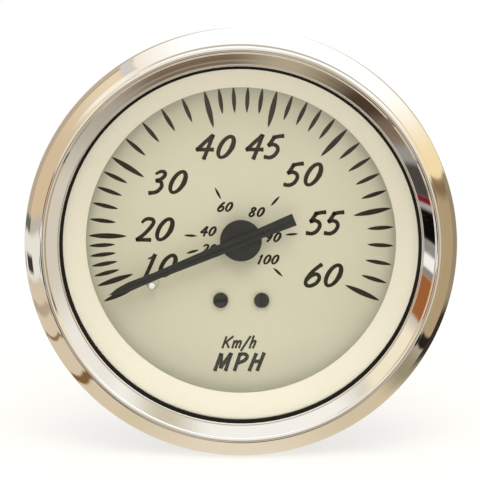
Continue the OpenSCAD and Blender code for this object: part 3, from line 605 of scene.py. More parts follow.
def close_mesh(mesh, merge=MERGE):
    """Merges doubled corners, turns the faces outwards and shades round forms smooth."""
    work = bmesh.new()
    work.from_mesh(mesh)
    bmesh.ops.remove_doubles(work, verts=work.verts, dist=merge)
    bmesh.ops.dissolve_degenerate(work, edges=work.edges, dist=merge)
    bmesh.ops.recalc_face_normals(work, faces=work.faces)
    work.to_mesh(mesh)
    work.free()
    mesh.shade_smooth()
    mesh.set_sharp_from_angle(angle=EDGE_ANGLE)
    return mesh


def dress(material, *nodes):
    """Gives a finish to solids that keep their own mesh."""
    for node in nodes:
        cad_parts[node].data.materials.clear()
        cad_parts[node].data.materials.append(material)


def settled(seed):
    """Plain mesh of an object with its modifier applied; the object goes."""
    depsgraph = bpy.context.evaluated_depsgraph_get()
    mesh = bpy.data.meshes.new_from_object(seed.evaluated_get(depsgraph), depsgraph=depsgraph)
    bpy.data.objects.remove(seed)
    return mesh


def flat_faced(mesh):
    """Shades a mesh smooth, with the large faces leading so that they stay flat beside rounded edges."""
    mesh.shade_smooth()
    mesh.set_sharp_from_angle(angle=EDGE_ANGLE)
    seed = add_object("seed", mesh)
    modifier = seed.modifiers.new("flat", "WEIGHTED_NORMAL")
    modifier.weight = LARGE_FACES_LEAD
    modifier.keep_sharp = True
    return settled(seed)


def round_edges(work, edges, width):
    """Rounds edges over by a width in millimetres."""
    bmesh.ops.bevel(work, geom=edges, offset=width * MM, segments=2, profile=0.5,
                    affect="EDGES", clamp_overlap=True)


def softened(name, material, body, node, width):
    """A copy of a solid with its triangles joined and its sharp edges rounded over."""
    work = bmesh.new()
    work.from_mesh(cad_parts[node].data)
    bmesh.ops.remove_doubles(work, verts=work.verts, dist=SOLID_MERGE)
    bmesh.ops.dissolve_limit(work, angle_limit=FLAT_ANGLE, verts=work.verts, edges=work.edges)
    sharp = [edge for edge in work.edges if edge.is_manifold and edge.calc_face_angle() > EDGE_ANGLE]
    round_edges(work, sharp, width)
    mesh = bpy.data.meshes.new(name)
    work.to_mesh(mesh)
    work.free()
    return add_piece(name, flat_faced(mesh), material, body, node)


print("edges sharper than", round(math.degrees(EDGE_ANGLE)), "degrees stay crisp")

# %% [markdown]
# ## Turned pieces
# Most of the front is spun or turned about the axis, so one Geometry Nodes tree makes all of it. The
# tree takes the points of an outline, lays a grid with one row per outline point and one column per
# step round the axis, and bends the grid into a ring.

# %% The turning tree
TURN_STEPS = 240
CORNER_POINTS, FINE_CORNER_POINTS = 4, 6


def run_tree(tree, host, values):
    """Runs a geometry tree on a host mesh with named inputs and gives back a plain mesh."""
    seed = add_object("seed", host)
    modifier = seed.modifiers.new("tree", "NODES")
    modifier.node_group = tree
    for item in tree.interface.items_tree:
        if item.in_out == "INPUT" and item.name in values:
            modifier[item.identifier] = values[item.name]
    return settled(seed)


def joined(tree, *parts):
    """One geometry from several."""
    together = add_node(tree, "GeometryNodeJoinGeometry")
    for part in parts:
        tree.links.new(part, together.inputs[0])
    return together.outputs[0]


def end_tree(tree, given, result, geometry):
    """Realizes the instances and sets the material at the end of a geometry tree."""
    solid = add_node(tree, "GeometryNodeRealizeInstances", {0: geometry}).outputs[0]
    painted = add_node(tree, "GeometryNodeSetMaterial", {0: solid, "Material": given.outputs["Material"]})
    tree.links.new(painted.outputs[0], result.inputs["Geometry"])


def turning_tree():
    """Bends a grid into a ring whose section is the outline of the host's points."""
    tree, given, result = new_tree(
        "turning", "GeometryNodeTree",
        {"Geometry": "Geometry", "Steps": "Int", "Centre": "Vector", "Material": "Material"},
        {"Geometry": "Geometry"})
    outline = given.outputs["Geometry"]
    count = add_node(tree, "GeometryNodeAttributeDomainSize", {0: outline}).outputs["Point Count"]
    steps = given.outputs["Steps"]
    grid = add_node(tree, "GeometryNodeMeshGrid",
                    {"Vertices X": maths(tree, "ADD", steps, 1), "Vertices Y": count}).outputs["Mesh"]
    index = add_node(tree, "GeometryNodeInputIndex").outputs[0]
    place = add_node(tree, "GeometryNodeInputPosition").outputs[0]
    along = maths(tree, "MODULO", index, count)
    step = maths(tree, "FLOOR", maths(tree, "DIVIDE", maths(tree, "ADD", index, 0.5), count))
    angle = maths(tree, "DIVIDE", maths(tree, "MULTIPLY", step, math.tau), steps)
    sample = add_node(tree, "GeometryNodeSampleIndex",
                      {"Geometry": outline, "Value": place, "Index": along}, data_type="FLOAT_VECTOR")
    point = add_node(tree, "ShaderNodeSeparateXYZ", {0: sample.outputs[0]}).outputs
    ring = add_node(tree, "ShaderNodeCombineXYZ", {
        "X": maths(tree, "MULTIPLY", point["X"], maths(tree, "COSINE", angle)), "Y": point["Y"],
        "Z": maths(tree, "MULTIPLY", point["X"], maths(tree, "SINE", angle))}).outputs[0]
    moved = add_node(tree, "ShaderNodeVectorMath", {0: ring, 1: given.outputs["Centre"]}).outputs[0]
    bent = add_node(tree, "GeometryNodeSetPosition", {"Geometry": grid, "Position": moved}).outputs[0]
    end_tree(tree, given, result, bent)
    return tree


TURNING = turning_tree()


def turned_mesh(name, outline, material, centre, steps):
    """Mesh turned from an outline of (radius, level) points in millimetres, which is closed here."""
    host = bpy.data.meshes.new(name + "_outline")
    closed = list(outline) + [outline[0]]
    host.from_pydata([(radius * MM, -level * MM, 0) for radius, level in closed], [], [])
    mesh = run_tree(TURNING, host, {"Steps": steps, "Material": material,
                                    "Centre": (centre[0] * MM, 0, centre[1] * MM)})
    return close_mesh(mesh)


def turned(name, outline, material, body, *replaced, centre=(0, 0), steps=TURN_STEPS, **options):
    """A turned piece on a body; its outline lies round a centre on the dial plane."""
    mesh = turned_mesh(name, outline, material, centre, steps)
    return add_piece(name, mesh, material, body, *replaced, **options)


def arc(centre, radius, start, end, points):
    """Points of an arc in an outline, angles in degrees from the radius towards the viewer."""
    angles = [math.radians(start + (end - start) * step / points) for step in range(points + 1)]
    return [(centre[0] + radius * math.cos(angle), centre[1] + radius * math.sin(angle))
            for angle in angles]


def bowed(first, second, bow, points):
    """Points between two corners along a shallow curve that bows to the left of the way."""
    along = (second[0] - first[0], second[1] - first[1])
    length = math.hypot(*along)
    side = (-along[1] / length, along[0] / length)
    shares = [step / points for step in range(points + 1)]
    return [(first[0] + along[0] * share + side[0] * bow * 4 * share * (1 - share),
             first[1] + along[1] * share + side[1] * bow * 4 * share * (1 - share)) for share in shares]


def washer(radius, back, front, rounding, bore):
    """Outline of a flat ring with rounded corners."""
    corners = arc((radius - rounding, back + rounding), rounding, -90, 0, CORNER_POINTS)
    corners += arc((radius - rounding, front - rounding), rounding, 0, 90, CORNER_POINTS)
    corners += arc((bore + rounding, front - rounding), rounding, 90, 180, CORNER_POINTS)
    return corners + arc((bore + rounding, back + rounding), rounding, 180, 270, CORNER_POINTS)


print("turning in", TURN_STEPS, "steps")

# %% [markdown]
# ## The bezel
# The bezel is a ring of thin brass, spun over a former: a crimped back edge, a rounded outer band, a
# bead and a cove that dips to a thin lip over the glass. Its section is written as an outline in the
# order it runs, from the crimp round the front and back along the inside.

# %% Bezel
BEZEL_WALL = 0.8
BEND_POINTS, FOOT_POINTS, SWEEP_POINTS = 8, 6, 24
CRIMP_LEVEL, BEAD_LEVEL = back_level("bezel"), front_level("bezel")
CRIMP_GAP, CRIMP_ROUND = 0.3, 1.0
CRIMP_RADIUS = outer_radius("lens") + CRIMP_GAP
BEAD_INSET, BEAD_ROUND, BEAD_SIDE = 4.4, 1.0, 37
BEAD_CENTRE = (BEZEL_RADIUS - BEAD_INSET, BEAD_LEVEL - BEAD_ROUND)
BAND_RISE = 4.1
SHOULDER_LEVEL = BEAD_LEVEL - BAND_RISE
FOOT_INSET, FOOT_RISE = 0.3, 0.6
FOOT_BOW, BAND_BOW, COVE_BOW = -0.05, -0.35, 0.08
LIP_LEVEL, LIP_RADIUS = front_level("lens_gasket"), 42.45
NOSE_ROUND, NOSE_FLAT = 0.3, 0.15
LIP_SEAT = 1.05
# inside of the sheet: steps outward from the bead's centre or the inner wall, and drops
INSIDE_BEAD = ((-0.7, 0.45), (0.0, 0.15), (0.35, 0.2))
INSIDE_SHOULDER = ((-0.1, 0.1), (0.0, 0.5))


def bezel_outline():
    """Section of the bezel as (radius, level) points."""
    bead = arc(BEAD_CENTRE, BEAD_ROUND, BEAD_SIDE, HALF_TURN - BEAD_SIDE, SWEEP_POINTS)
    foot = (BEZEL_RADIUS - FOOT_INSET, SHOULDER_LEVEL + FOOT_RISE)
    lip_top = LIP_LEVEL + BEZEL_WALL
    front = arc((BEZEL_RADIUS - CRIMP_ROUND, CRIMP_LEVEL + CRIMP_ROUND), CRIMP_ROUND, -90, 0, BEND_POINTS)
    front += bowed((BEZEL_RADIUS, SHOULDER_LEVEL), foot, FOOT_BOW, FOOT_POINTS)[:-1]
    front += bowed(foot, bead[0], BAND_BOW, SWEEP_POINTS)[:-1]
    front += bead
    nose = (LIP_RADIUS + NOSE_ROUND + NOSE_FLAT, lip_top)
    front += bowed(bead[-1], nose, COVE_BOW, SWEEP_POINTS)[1:]
    front += arc((LIP_RADIUS + NOSE_ROUND, lip_top - NOSE_ROUND), NOSE_ROUND, 90, 180, BEND_POINTS)
    inner = BEZEL_RADIUS - BEZEL_WALL
    inside = [(LIP_RADIUS, LIP_LEVEL), (LIP_RADIUS + LIP_SEAT, LIP_LEVEL)]
    inside += [(BEAD_CENTRE[0] + step, BEAD_LEVEL - drop - BEZEL_WALL) for step, drop in INSIDE_BEAD]
    inside += [(inner + step, SHOULDER_LEVEL - drop) for step, drop in INSIDE_SHOULDER]
    inside += [(inner, CRIMP_LEVEL + BEZEL_WALL), (CRIMP_RADIUS, CRIMP_LEVEL + BEZEL_WALL)]
    return [(CRIMP_RADIUS, CRIMP_LEVEL)] + front + inside


bezel = turned("chrome_bezel", bezel_outline(), chrome, "case", "bezel")
print("bezel faces:", len(bezel.data.polygons))

# %% [markdown]
# ## Window, gasket and trim ring
# A flat glass sits on the trim ring's flange, and a thin rubber ring seals it under the bezel's lip.
# The trim ring is a shallow ivory cone that leads the eye down to the dial. Its inner edge is rolled,
# which shows as a fine light line.

# %% Window and trim
GASKET_BORE, GASKET_ROUND = 41.7, 0.15
TRIM_EDGE = (36.5, DIAL_LEVEL + 4.6)
TRIM_TOP = (41.8, front_level("trim_ring"))
TRIM_WALL = 0.8
ROLL_POINTS = 10


def trim_outline():
    """Section of the trim ring: a rolled edge, the cone and a flange under the glass."""
    slope = Vector(TRIM_TOP) - Vector(TRIM_EDGE)
    slope.normalize()
    inward = Vector((slope[1], -slope[0]))
    lean = math.degrees(math.atan2(slope[1], slope[0]))
    roll = TRIM_WALL / 2
    roll_centre = Vector(TRIM_EDGE) + inward * roll + slope * roll
    flange_back = back_level("lens") - BEZEL_WALL
    edge = arc(roll_centre, roll, lean + 90, lean + 270, ROLL_POINTS)
    back_top = Vector(edge[-1]) + slope * (flange_back - edge[-1][1]) / slope[1]
    rim = outer_radius("trim_ring")
    return edge + [tuple(back_top), (rim, flange_back), (rim, TRIM_TOP[1]), TRIM_TOP]


gasket_outline = washer(outer_radius("lens_gasket"), back_level("lens_gasket"), LIP_LEVEL, GASKET_ROUND,
                        GASKET_BORE)
turned("window_gasket", gasket_outline, black_rubber, "case", "lens_gasket")
trim = turned("ivory_trim_ring", trim_outline(), ivory_trim, "case", "trim_ring")
dress(window_glass, "lens")
print("trim ring faces:", len(trim.data.polygons))

# %% [markdown]
# ## Dial marks
# The pressure grows with the square of the speed, so the scale opens out: there is no room for small
# marks below ten, and each later step has four. The numbered angles are the maker's own and are
# written down. A Geometry Nodes tree sets one brush stroke per mark: a line that swells in the middle,
# placed by its angle and laid almost flat on the dial.

# %% Dial marks
MARK_ANGLES = {0: 205.2, 10: 198.8, 20: 179.2, 30: 147.7, 40: 103.9, 45: 76.5, 50: 46.2, 55: 11.6,
               60: -24.5}
SMALL_MARKS = 4
INNER_ANGLES = {20: 196.0, 40: 177.4, 60: 117.2, 80: 47.8, 90: 4.4, 100: -43.2}
MARK_RADIUS, INNER_MARK_RADIUS = 36.4, 13.65
LONG_MARK, SHORT_MARK, INNER_MARK = (9.2, 1.3), (6.4, 1.0), (3.2, 0.62)
MARK_POINTS, MARK_SIDES, MARK_SWELL = 15, 8, 0.7
INK_HEIGHT = 0.06


def scale_marks():
    """Angle, outer radius, length and width of every mark, in degrees and millimetres."""
    numbered = list(MARK_ANGLES.values())
    marks = [(angle, MARK_RADIUS, *LONG_MARK) for angle in numbered]
    for start, end in zip(numbered[1:], numbered[2:]):
        step = (end - start) / (SMALL_MARKS + 1)
        marks += [(start + step * count, MARK_RADIUS, *SHORT_MARK)
                  for count in range(1, SMALL_MARKS + 1)]
    return marks + [(angle, INNER_MARK_RADIUS, *INNER_MARK) for angle in INNER_ANGLES.values()]


def set_values(mesh, name, values):
    """Stores one number per point of a mesh."""
    mesh.attributes.new(name, "FLOAT", "POINT").data.foreach_set("value", values)


def marks_tree():
    """One swelling stroke per point, turned and stretched by the point's own numbers."""
    tree, given, result = new_tree(
        "scale_marks", "GeometryNodeTree",
        {"Geometry": "Geometry", "Ink height": "Float", "Material": "Material"}, {"Geometry": "Geometry"})

    def stored(name):
        """The number of that name at each point."""
        return add_node(tree, "GeometryNodeInputNamedAttribute", {"Name": name}).outputs["Attribute"]

    line = add_node(tree, "GeometryNodeCurvePrimitiveLine", {"Start": (-0.5, 0, 0), "End": (0.5, 0, 0)})
    steps = add_node(tree, "GeometryNodeResampleCurve", {"Curve": line.outputs[0], "Count": MARK_POINTS})
    along = add_node(tree, "GeometryNodeSplineParameter").outputs["Factor"]
    swell = maths(tree, "SINE", maths(tree, "MULTIPLY", along, math.pi))
    swell = maths(tree, "POWER", swell, MARK_SWELL)
    around = add_node(tree, "GeometryNodeCurvePrimitiveCircle", {"Resolution": MARK_SIDES, "Radius": 0.5})
    stroke = add_node(tree, "GeometryNodeCurveToMesh",
                      {"Curve": steps.outputs[0], "Profile Curve": around.outputs[0], "Scale": swell})
    turn = add_node(tree, "ShaderNodeCombineXYZ", {"Y": maths(tree, "MULTIPLY", stored("angle"), -1)})
    turn = add_node(tree, "FunctionNodeEulerToRotation", {0: turn.outputs[0]})
    size = add_node(tree, "ShaderNodeCombineXYZ", {"X": stored("length"), "Y": given.outputs["Ink height"],
                                                   "Z": stored("width")})
    placed = add_node(tree, "GeometryNodeInstanceOnPoints",
                      {"Points": given.outputs["Geometry"], "Instance": stroke.outputs[0],
                       "Rotation": turn.outputs[0], "Scale": size.outputs[0]})
    end_tree(tree, given, result, placed.outputs[0])
    return tree


def add_marks(marks):
    """Lays the marks on the dial."""
    host = bpy.data.meshes.new("mark_points")
    angles = [math.radians(mark[0]) for mark in marks]
    middles = [mark[1] - mark[2] / 2 for mark in marks]
    host.from_pydata([(radius * math.cos(angle) * MM, -DIAL_LEVEL * MM, radius * math.sin(angle) * MM)
                      for angle, radius in zip(angles, middles)], [], [])
    set_values(host, "angle", angles)
    set_values(host, "length", [mark[2] * MM for mark in marks])
    set_values(host, "width", [mark[3] * MM for mark in marks])
    mesh = run_tree(marks_tree(), host, {"Ink height": INK_HEIGHT * MM, "Material": dial_ink})
    return add_piece("dial_marks", close_mesh(mesh), dial_ink, "case")


dress(dial_cream, "dial_plate")
marks = add_marks(scale_marks())
print("marks:", len(scale_marks()), "faces:", len(marks.data.polygons))

# %% [markdown]
# ## Dial numbers and unit words
# The numbers look drawn with a loaded brush: slanted, with ends cut square and heavier sides on the
# noughts. Each figure is a few strokes on a cell one unit high, given by the points the brush passes
# through. A Geometry Nodes tree runs a round brush along the strokes, squares their ends and presses
# them flat.

# %% Figures and letters
SLANT = 0.33
# noughts: brush width at the ends, more at the sides, and more again on the side that the brush loads
LOOP_END, LOOP_SIDE, LOOP_LOAD = 0.8, 0.3, 0.16
LOAD_TURN = math.radians(40)
LOOP_LEAN = 0.12


def loop(centre, half_width, half_height, points=10):
    """A closed oval stroke that leans a little more than the rest, with its upper right side heaviest."""
    turns = [math.tau * step / points for step in range(points)] + [0.0]
    weights = [LOOP_END + LOOP_SIDE * abs(math.cos(turn))
               + LOOP_LOAD * max(0.0, math.cos(turn - LOAD_TURN)) for turn in turns]
    ups = [half_height * math.sin(turn) for turn in turns]
    return [(centre[0] + half_width * math.cos(turn) + LOOP_LEAN * up, centre[1] + up, weight)
            for turn, up, weight in zip(turns, ups, weights)]


# strokes as points to the right and up in heights of the figure, some with a share of the pen's width
FIGURES = {
    "0": [loop((0.29, 0.5), 0.252, 0.43)],
    "1": [[(-0.08, 0.79, 0.4), (0.03, 0.84, 0.55), (0.12, 0.92, 0.8)],
          [(0.13, 0.93), (0.09, 0.5), (0.04, 0.06)]],
    "2": [[(-0.01, 0.8, 0.7), (0.06, 0.9, 0.85), (0.2, 0.94), (0.38, 0.9), (0.45, 0.76), (0.36, 0.52),
           (0.2, 0.28), (0.01, 0.08)],
          [(0.01, 0.07), (0.53, 0.06)]],
    "3": [[(0.0, 0.85, 0.65), (0.164, 0.94, 0.9), (0.328, 0.9), (0.369, 0.77), (0.271, 0.63),
           (0.123, 0.56)],
          [(0.123, 0.56), (0.303, 0.5), (0.385, 0.31), (0.279, 0.12), (0.115, 0.06), (-0.016, 0.05)]],
    "4": [[(0.447, 0.95), (0.229, 0.68), (0.031, 0.4)], [(0.031, 0.39), (0.645, 0.39)],
          [(0.468, 0.96), (0.447, 0.5), (0.416, 0.03)]],
    "5": [[(0.437, 0.95), (0.269, 0.93), (0.101, 0.89)], [(0.101, 0.89), (0.05, 0.73), (0.0, 0.58)],
          [(0.0, 0.57), (0.151, 0.6), (0.336, 0.52), (0.42, 0.36), (0.361, 0.16), (0.202, 0.06),
           (0.0, 0.08)]],
    "6": [[(0.418, 0.94), (0.176, 0.68), (0.022, 0.35), (0.066, 0.12), (0.264, 0.06), (0.473, 0.18),
           (0.528, 0.4), (0.374, 0.55), (0.176, 0.49), (0.044, 0.34)]],
    "8": [[(0.44, 0.86), (0.28, 0.94), (0.11, 0.83), (0.16, 0.65), (0.36, 0.47), (0.47, 0.27), (0.34, 0.08),
           (0.12, 0.08), (0.02, 0.26), (0.14, 0.47), (0.38, 0.63), (0.47, 0.77), (0.44, 0.86)]],
    "9": [[(0.46, 0.72), (0.36, 0.92), (0.17, 0.92), (0.05, 0.72), (0.11, 0.51), (0.29, 0.51),
           (0.45, 0.68)],
          [(0.48, 0.8), (0.43, 0.42), (0.22, 0.07)]],
    "M": [[(0.03, 0.94), (0.0, 0.04)], [(0.07, 0.93), (0.28, 0.2)], [(0.28, 0.2), (0.58, 0.96)],
          [(0.6, 0.96), (0.61, 0.04)]],
    "P": [[(0.0, 0.95), (0.0, 0.04)], [(0.0, 0.95), (0.27, 0.96), (0.45, 0.83), (0.38, 0.6), (0.04, 0.43)]],
    "H": [[(0.06, 0.95), (0.0, 0.04)], [(0.5, 0.99), (0.45, 0.05)], [(0.03, 0.53), (0.48, 0.55)]],
    "K": [[(0.02, 0.96), (0.0, 0.04)], [(0.05, 0.42), (0.56, 0.99)], [(0.17, 0.53), (0.5, 0.06)]],
    "m": [[(-0.02, 0.62), (0.0, 0.04)], [(0.0, 0.42), (0.16, 0.62), (0.27, 0.52), (0.27, 0.05)],
          [(0.28, 0.42), (0.44, 0.62), (0.56, 0.52), (0.56, 0.05)]],
    "/": [[(0.44, 1.0), (0.06, -0.2)]],
    "h": [[(0.02, 1.03), (0.0, 0.04)], [(0.02, 0.42), (0.22, 0.64), (0.34, 0.52), (0.28, 0.04)]],
}
# distance to the next figure, in heights of the figure
ADVANCE = {"1": 0.52, "2": 0.71, "3": 0.71, "4": 0.87, "5": 0.74, "6": 0.78,
           "M": 1.12, "P": 0.85, "K": 0.83, "m": 0.75, "/": 0.7}
USUAL_ADVANCE = 0.82


def written(text, centre, height, pen):
    """Strokes of a word set about a centre: lists of (right, up, brush radius) in millimetres."""
    strokes, start = [], 0.0
    for letter in text:
        for stroke in FIGURES[letter]:
            strokes.append([((start + point[0] + SLANT * point[1]) * height, point[1] * height,
                             pen / 2 * (point[2] if len(point) > 2 else 1.0)) for point in stroke])
        start += ADVANCE.get(letter, USUAL_ADVANCE)
    rights = [point[0] for stroke in strokes for point in stroke]
    ups = [point[1] for stroke in strokes for point in stroke]
    aside = centre[0] - (min(rights) + max(rights)) / 2
    above = centre[1] - (min(ups) + max(ups)) / 2
    return [[(right + aside, up + above, radius) for right, up, radius in stroke] for stroke in strokes]


print("figures and letters:", " ".join(FIGURES))

# %% Brush tree
BRUSH_SIDES = 10
SQUARE_END = 0.7


def brush_tree():
    """Runs a round brush along the host's lines, cuts the ends square and presses the strokes flat."""
    tree, given, result = new_tree(
        "brush_strokes", "GeometryNodeTree",
        {"Geometry": "Geometry", "Dial": "Float", "Flatness": "Float", "Material": "Material"},
        {"Geometry": "Geometry"})
    pen = add_node(tree, "GeometryNodeInputNamedAttribute", {"Name": "pen"}).outputs["Attribute"]
    lines = add_node(tree, "GeometryNodeMeshToCurve", {0: given.outputs["Geometry"]}).outputs[0]
    curves = add_node(tree, "GeometryNodeCurveSplineType", {0: lines}, spline_type="CATMULL_ROM").outputs[0]
    curves = add_node(tree, "GeometryNodeResampleCurve", {0: curves}, mode="EVALUATED").outputs[0]
    round_brush = add_node(tree, "GeometryNodeCurvePrimitiveCircle",
                           {"Resolution": BRUSH_SIDES, "Radius": 1.0})
    strokes = add_node(tree, "GeometryNodeCurveToMesh",
                       {"Curve": curves, "Profile Curve": round_brush.outputs[0], "Scale": pen})
    ends = add_node(tree, "GeometryNodeCurveEndpointSelection").outputs[0]
    way = add_node(tree, "GeometryNodeInputTangent").outputs[0]
    turn = add_node(tree, "FunctionNodeAlignRotationToVector", {"Vector": way}, axis="X", pivot_axis="Y")
    square = add_node(tree, "GeometryNodeMeshCube", {"Size": (2 * SQUARE_END, 2, 2)})
    caps = add_node(tree, "GeometryNodeInstanceOnPoints",
                    {"Points": curves, "Selection": ends, "Instance": square.outputs[0],
                     "Rotation": turn.outputs[0], "Scale": pen})
    caps = add_node(tree, "GeometryNodeRealizeInstances", {0: caps.outputs[0]})
    inked = joined(tree, caps.outputs[0], strokes.outputs[0])
    place = add_node(tree, "GeometryNodeInputPosition").outputs[0]
    place = add_node(tree, "ShaderNodeSeparateXYZ", {0: place}).outputs
    height = maths(tree, "SUBTRACT", place["Y"], given.outputs["Dial"])
    height = maths(tree, "MULTIPLY", height, given.outputs["Flatness"])
    height = maths(tree, "ADD", given.outputs["Dial"], height)
    flat = add_node(tree, "ShaderNodeCombineXYZ", {"X": place["X"], "Y": height, "Z": place["Z"]})
    pressed = add_node(tree, "GeometryNodeSetPosition", {"Geometry": inked, "Position": flat.outputs[0]})
    end_tree(tree, given, result, pressed.outputs[0])
    return tree


BRUSH = brush_tree()


def add_lettering(name, strokes):
    """Paints strokes on the dial as one piece."""
    points, pens, lines = [], [], []
    for stroke in strokes:
        closed = len(stroke) > 3 and stroke[0][:2] == stroke[-1][:2]
        first = len(points)
        kept = stroke[:-1] if closed else stroke
        points += [(right * MM, -DIAL_LEVEL * MM, up * MM) for right, up, _ in kept]
        pens += [radius * MM for _, _, radius in kept]
        lines += [(index, index + 1) for index in range(first, len(points) - 1)]
        if closed:
            lines.append((len(points) - 1, first))
    host = bpy.data.meshes.new(name + "_lines")
    host.from_pydata(points, lines, [])
    set_values(host, "pen", pens)
    mesh = run_tree(BRUSH, host, {"Dial": -DIAL_LEVEL * MM, "Flatness": INK_HEIGHT, "Material": dial_ink})
    return add_piece(name, close_mesh(mesh), dial_ink, "case")


print("strokes end", SQUARE_END, "of the brush's radius past their last point")

# %% Lettering
NUMBER_HEIGHT, NUMBER_PEN = 5.8, 0.98
NUMBERS = {10: (-19.2, -6.75), 20: (-20.55, 2.05), 30: (-17.45, 13.4), 40: (-6.05, 21.85),
           45: (5.65, 21.9), 50: (14.65, 15.35), 55: (19.95, 3.7), 60: (19.65, -9.0)}
SMALL_HEIGHT, SMALL_PEN = 2.3, 0.54
SMALL_NUMBERS = {20: (-7.7, -2.7), 40: (-7.8, 1.6), 60: (-3.8, 7.5), 80: (3.7, 6.3), 90: (7.8, 0.2),
                 100: (6.5, -5.2)}
# centre, height and pen of each word
UNIT_WORDS = {"Km/h": ((-0.5, -25.6), 2.85, 0.54), "MPH": ((-0.4, -30.1), 4.2, 0.93)}


def all_written(numbers, height, pen):
    """Strokes of every number in a table of centres."""
    return [stroke for value, centre in numbers.items()
            for stroke in written(str(value), centre, height, pen)]


numbers = add_lettering("dial_numbers", all_written(NUMBERS, NUMBER_HEIGHT, NUMBER_PEN))
small_numbers = add_lettering("inner_numbers", all_written(SMALL_NUMBERS, SMALL_HEIGHT, SMALL_PEN))
units = add_lettering("unit_words", [stroke for word, setting in UNIT_WORDS.items()
                                     for stroke in written(word, *setting)])
print("lettering faces:", sum(len(piece.data.polygons) for piece in (numbers, small_numbers, units)))

# %% [markdown]
# ## Screws, stop pin and pointer
# Two black slotted screws hold the dial. A pin in a low clear sleeve stops the pointer at zero; the pin's
# pale white colour is a painted highlight.
# The pointer is a strip of sheet metal folded along its middle to a low rib, with a square tail and a
# leaf-shaped end, riveted to a flat round hub. The fold is what makes one half of the strip look
# lighter than the other.

# %% Screws and stop pin
PIN_RADIUS, PIN_TIP = outer_radius("stop_pin"), 0.5
SLEEVE_RADIUS, SLEEVE_HEIGHT, SLEEVE_GAP = 1.75, 2.0, 0.02
stop_place = middle("stop_pin")


def dome(radius, level, height, points, bore=0.0):
    """Outline of a dome from its side to its top, or to the edge of a bore through it."""
    turns = [math.radians(90 * step / points) for step in range(points + 1)]
    return [(bore + (radius - bore) * math.cos(turn), level + height * math.sin(turn)) for turn in turns]


softened("slotted_dial_screws", screw_black, "case", "dial_screws", width=0.18)
pin_outline = [(0, back_level("stop_pin")), (PIN_RADIUS, back_level("stop_pin"))]
pin_outline += dome(PIN_RADIUS, front_level("stop_pin") - PIN_TIP, PIN_TIP, points=6)
# the stop pin's pale white finish is a painted highlight
turned("clear_stop_pin", pin_outline, pin_painted_highlight, "case", "stop_pin", centre=stop_place, steps=48)
sleeve_bore = PIN_RADIUS + SLEEVE_GAP
sleeve_outline = [(sleeve_bore, DIAL_LEVEL)]
sleeve_outline += dome(SLEEVE_RADIUS, DIAL_LEVEL, SLEEVE_HEIGHT, points=12, bore=sleeve_bore)
turned("clear_stop_sleeve", sleeve_outline, sleeve_plastic, "case", centre=stop_place, steps=64,
       carrier="stop_pin")
print("stop pin at", [round(part, 1) for part in stop_place], "mm")

# %% Pointer
POINTER_ANGLE = math.radians(202.6)
POINTER_LENGTH, TAIL_LENGTH, POINTER_HALF = 33.9, 13.7, 1.25
BLADE_BACK, BLADE_FRONT = back_level("pointer_blade"), front_level("pointer_blade")
BLADE_SHEET = 0.42
BLADE_EDGE = BLADE_BACK + BLADE_SHEET
RIB_HALF, RIB_FOOT = 0.2, 0.45
RIM_ANGLE, RIM_ROUND = math.radians(50), 0.06
CREASE_ANGLE = math.radians(12)
# place along the pointer in millimetres from the axis, and share of the half width
BLADE_STATIONS = ((-TAIL_LENGTH, 1.2), (-0.35 * TAIL_LENGTH, 1.0), (0.2 * POINTER_LENGTH, 1.0),
                  (0.65 * POINTER_LENGTH, 0.72), (0.85 * POINTER_LENGTH, 0.86),
                  (0.93 * POINTER_LENGTH, 0.6), (POINTER_LENGTH, 0.02))


def folded_blade():
    """A strip with a raised rib along its middle: one row of points per station."""
    points, faces = [], []
    for along, share in BLADE_STATIONS:
        half = POINTER_HALF * share
        rise = (BLADE_FRONT - BLADE_EDGE) * min(1.0, half)
        rib = min(RIB_HALF, half / 2)
        across = [(-half, BLADE_BACK), (-half, BLADE_EDGE), (-rib, BLADE_EDGE + RIB_FOOT * rise)]
        across += [(0, BLADE_EDGE + rise)] + [(-aside, level) for aside, level in reversed(across)]
        for aside, level in across:
            right = along * math.cos(POINTER_ANGLE) - aside * math.sin(POINTER_ANGLE)
            up = along * math.sin(POINTER_ANGLE) + aside * math.cos(POINTER_ANGLE)
            points.append((right * MM, -level * MM, up * MM))
    row = len(across)
    for start in range(0, len(points) - row, row):
        for side in range(row):
            near, far = start + side, start + (side + 1) % row
            faces.append((near, far, far + row, near + row))
    faces += [tuple(range(row - 1, -1, -1)), tuple(range(len(points) - row, len(points)))]
    mesh = bpy.data.meshes.new("folded_blade")
    mesh.from_pydata(points, [], faces)
    work = bmesh.new()
    work.from_mesh(mesh)
    bmesh.ops.recalc_face_normals(work, faces=work.faces)
    rims = [edge for edge in work.edges if edge.calc_face_angle() > RIM_ANGLE]
    round_edges(work, rims, RIM_ROUND)
    work.to_mesh(mesh)
    work.free()
    mesh.shade_smooth()
    mesh.set_sharp_from_angle(angle=CREASE_ANGLE)
    return mesh


HUB_RADIUS = outer_radius("pointer_hub")
SPINDLE_RADIUS = outer_radius("pointer_spindle")
HUB_WALL, COLLAR_RADIUS = 1.2, 1.9
HUB_BACK_ROUND, HUB_FRONT_ROUND = 0.2, 0.3
hub_front, hub_back = front_level("pointer_hub"), back_level("pointer_hub")
hub_wall = hub_front - HUB_WALL
hub_outline = [(SPINDLE_RADIUS, hub_back), (COLLAR_RADIUS, hub_back), (COLLAR_RADIUS, hub_wall)]
hub_outline += arc((HUB_RADIUS - HUB_BACK_ROUND, hub_wall + HUB_BACK_ROUND), HUB_BACK_ROUND, -90, 0,
                   CORNER_POINTS)
hub_outline += arc((HUB_RADIUS - HUB_FRONT_ROUND, hub_front - HUB_FRONT_ROUND), HUB_FRONT_ROUND, 0, 90,
                   FINE_CORNER_POINTS)
hub_outline += [(SPINDLE_RADIUS, hub_front)]
turned("round_hub", hub_outline, pointer_charcoal, "pointer", "pointer_hub", steps=96)
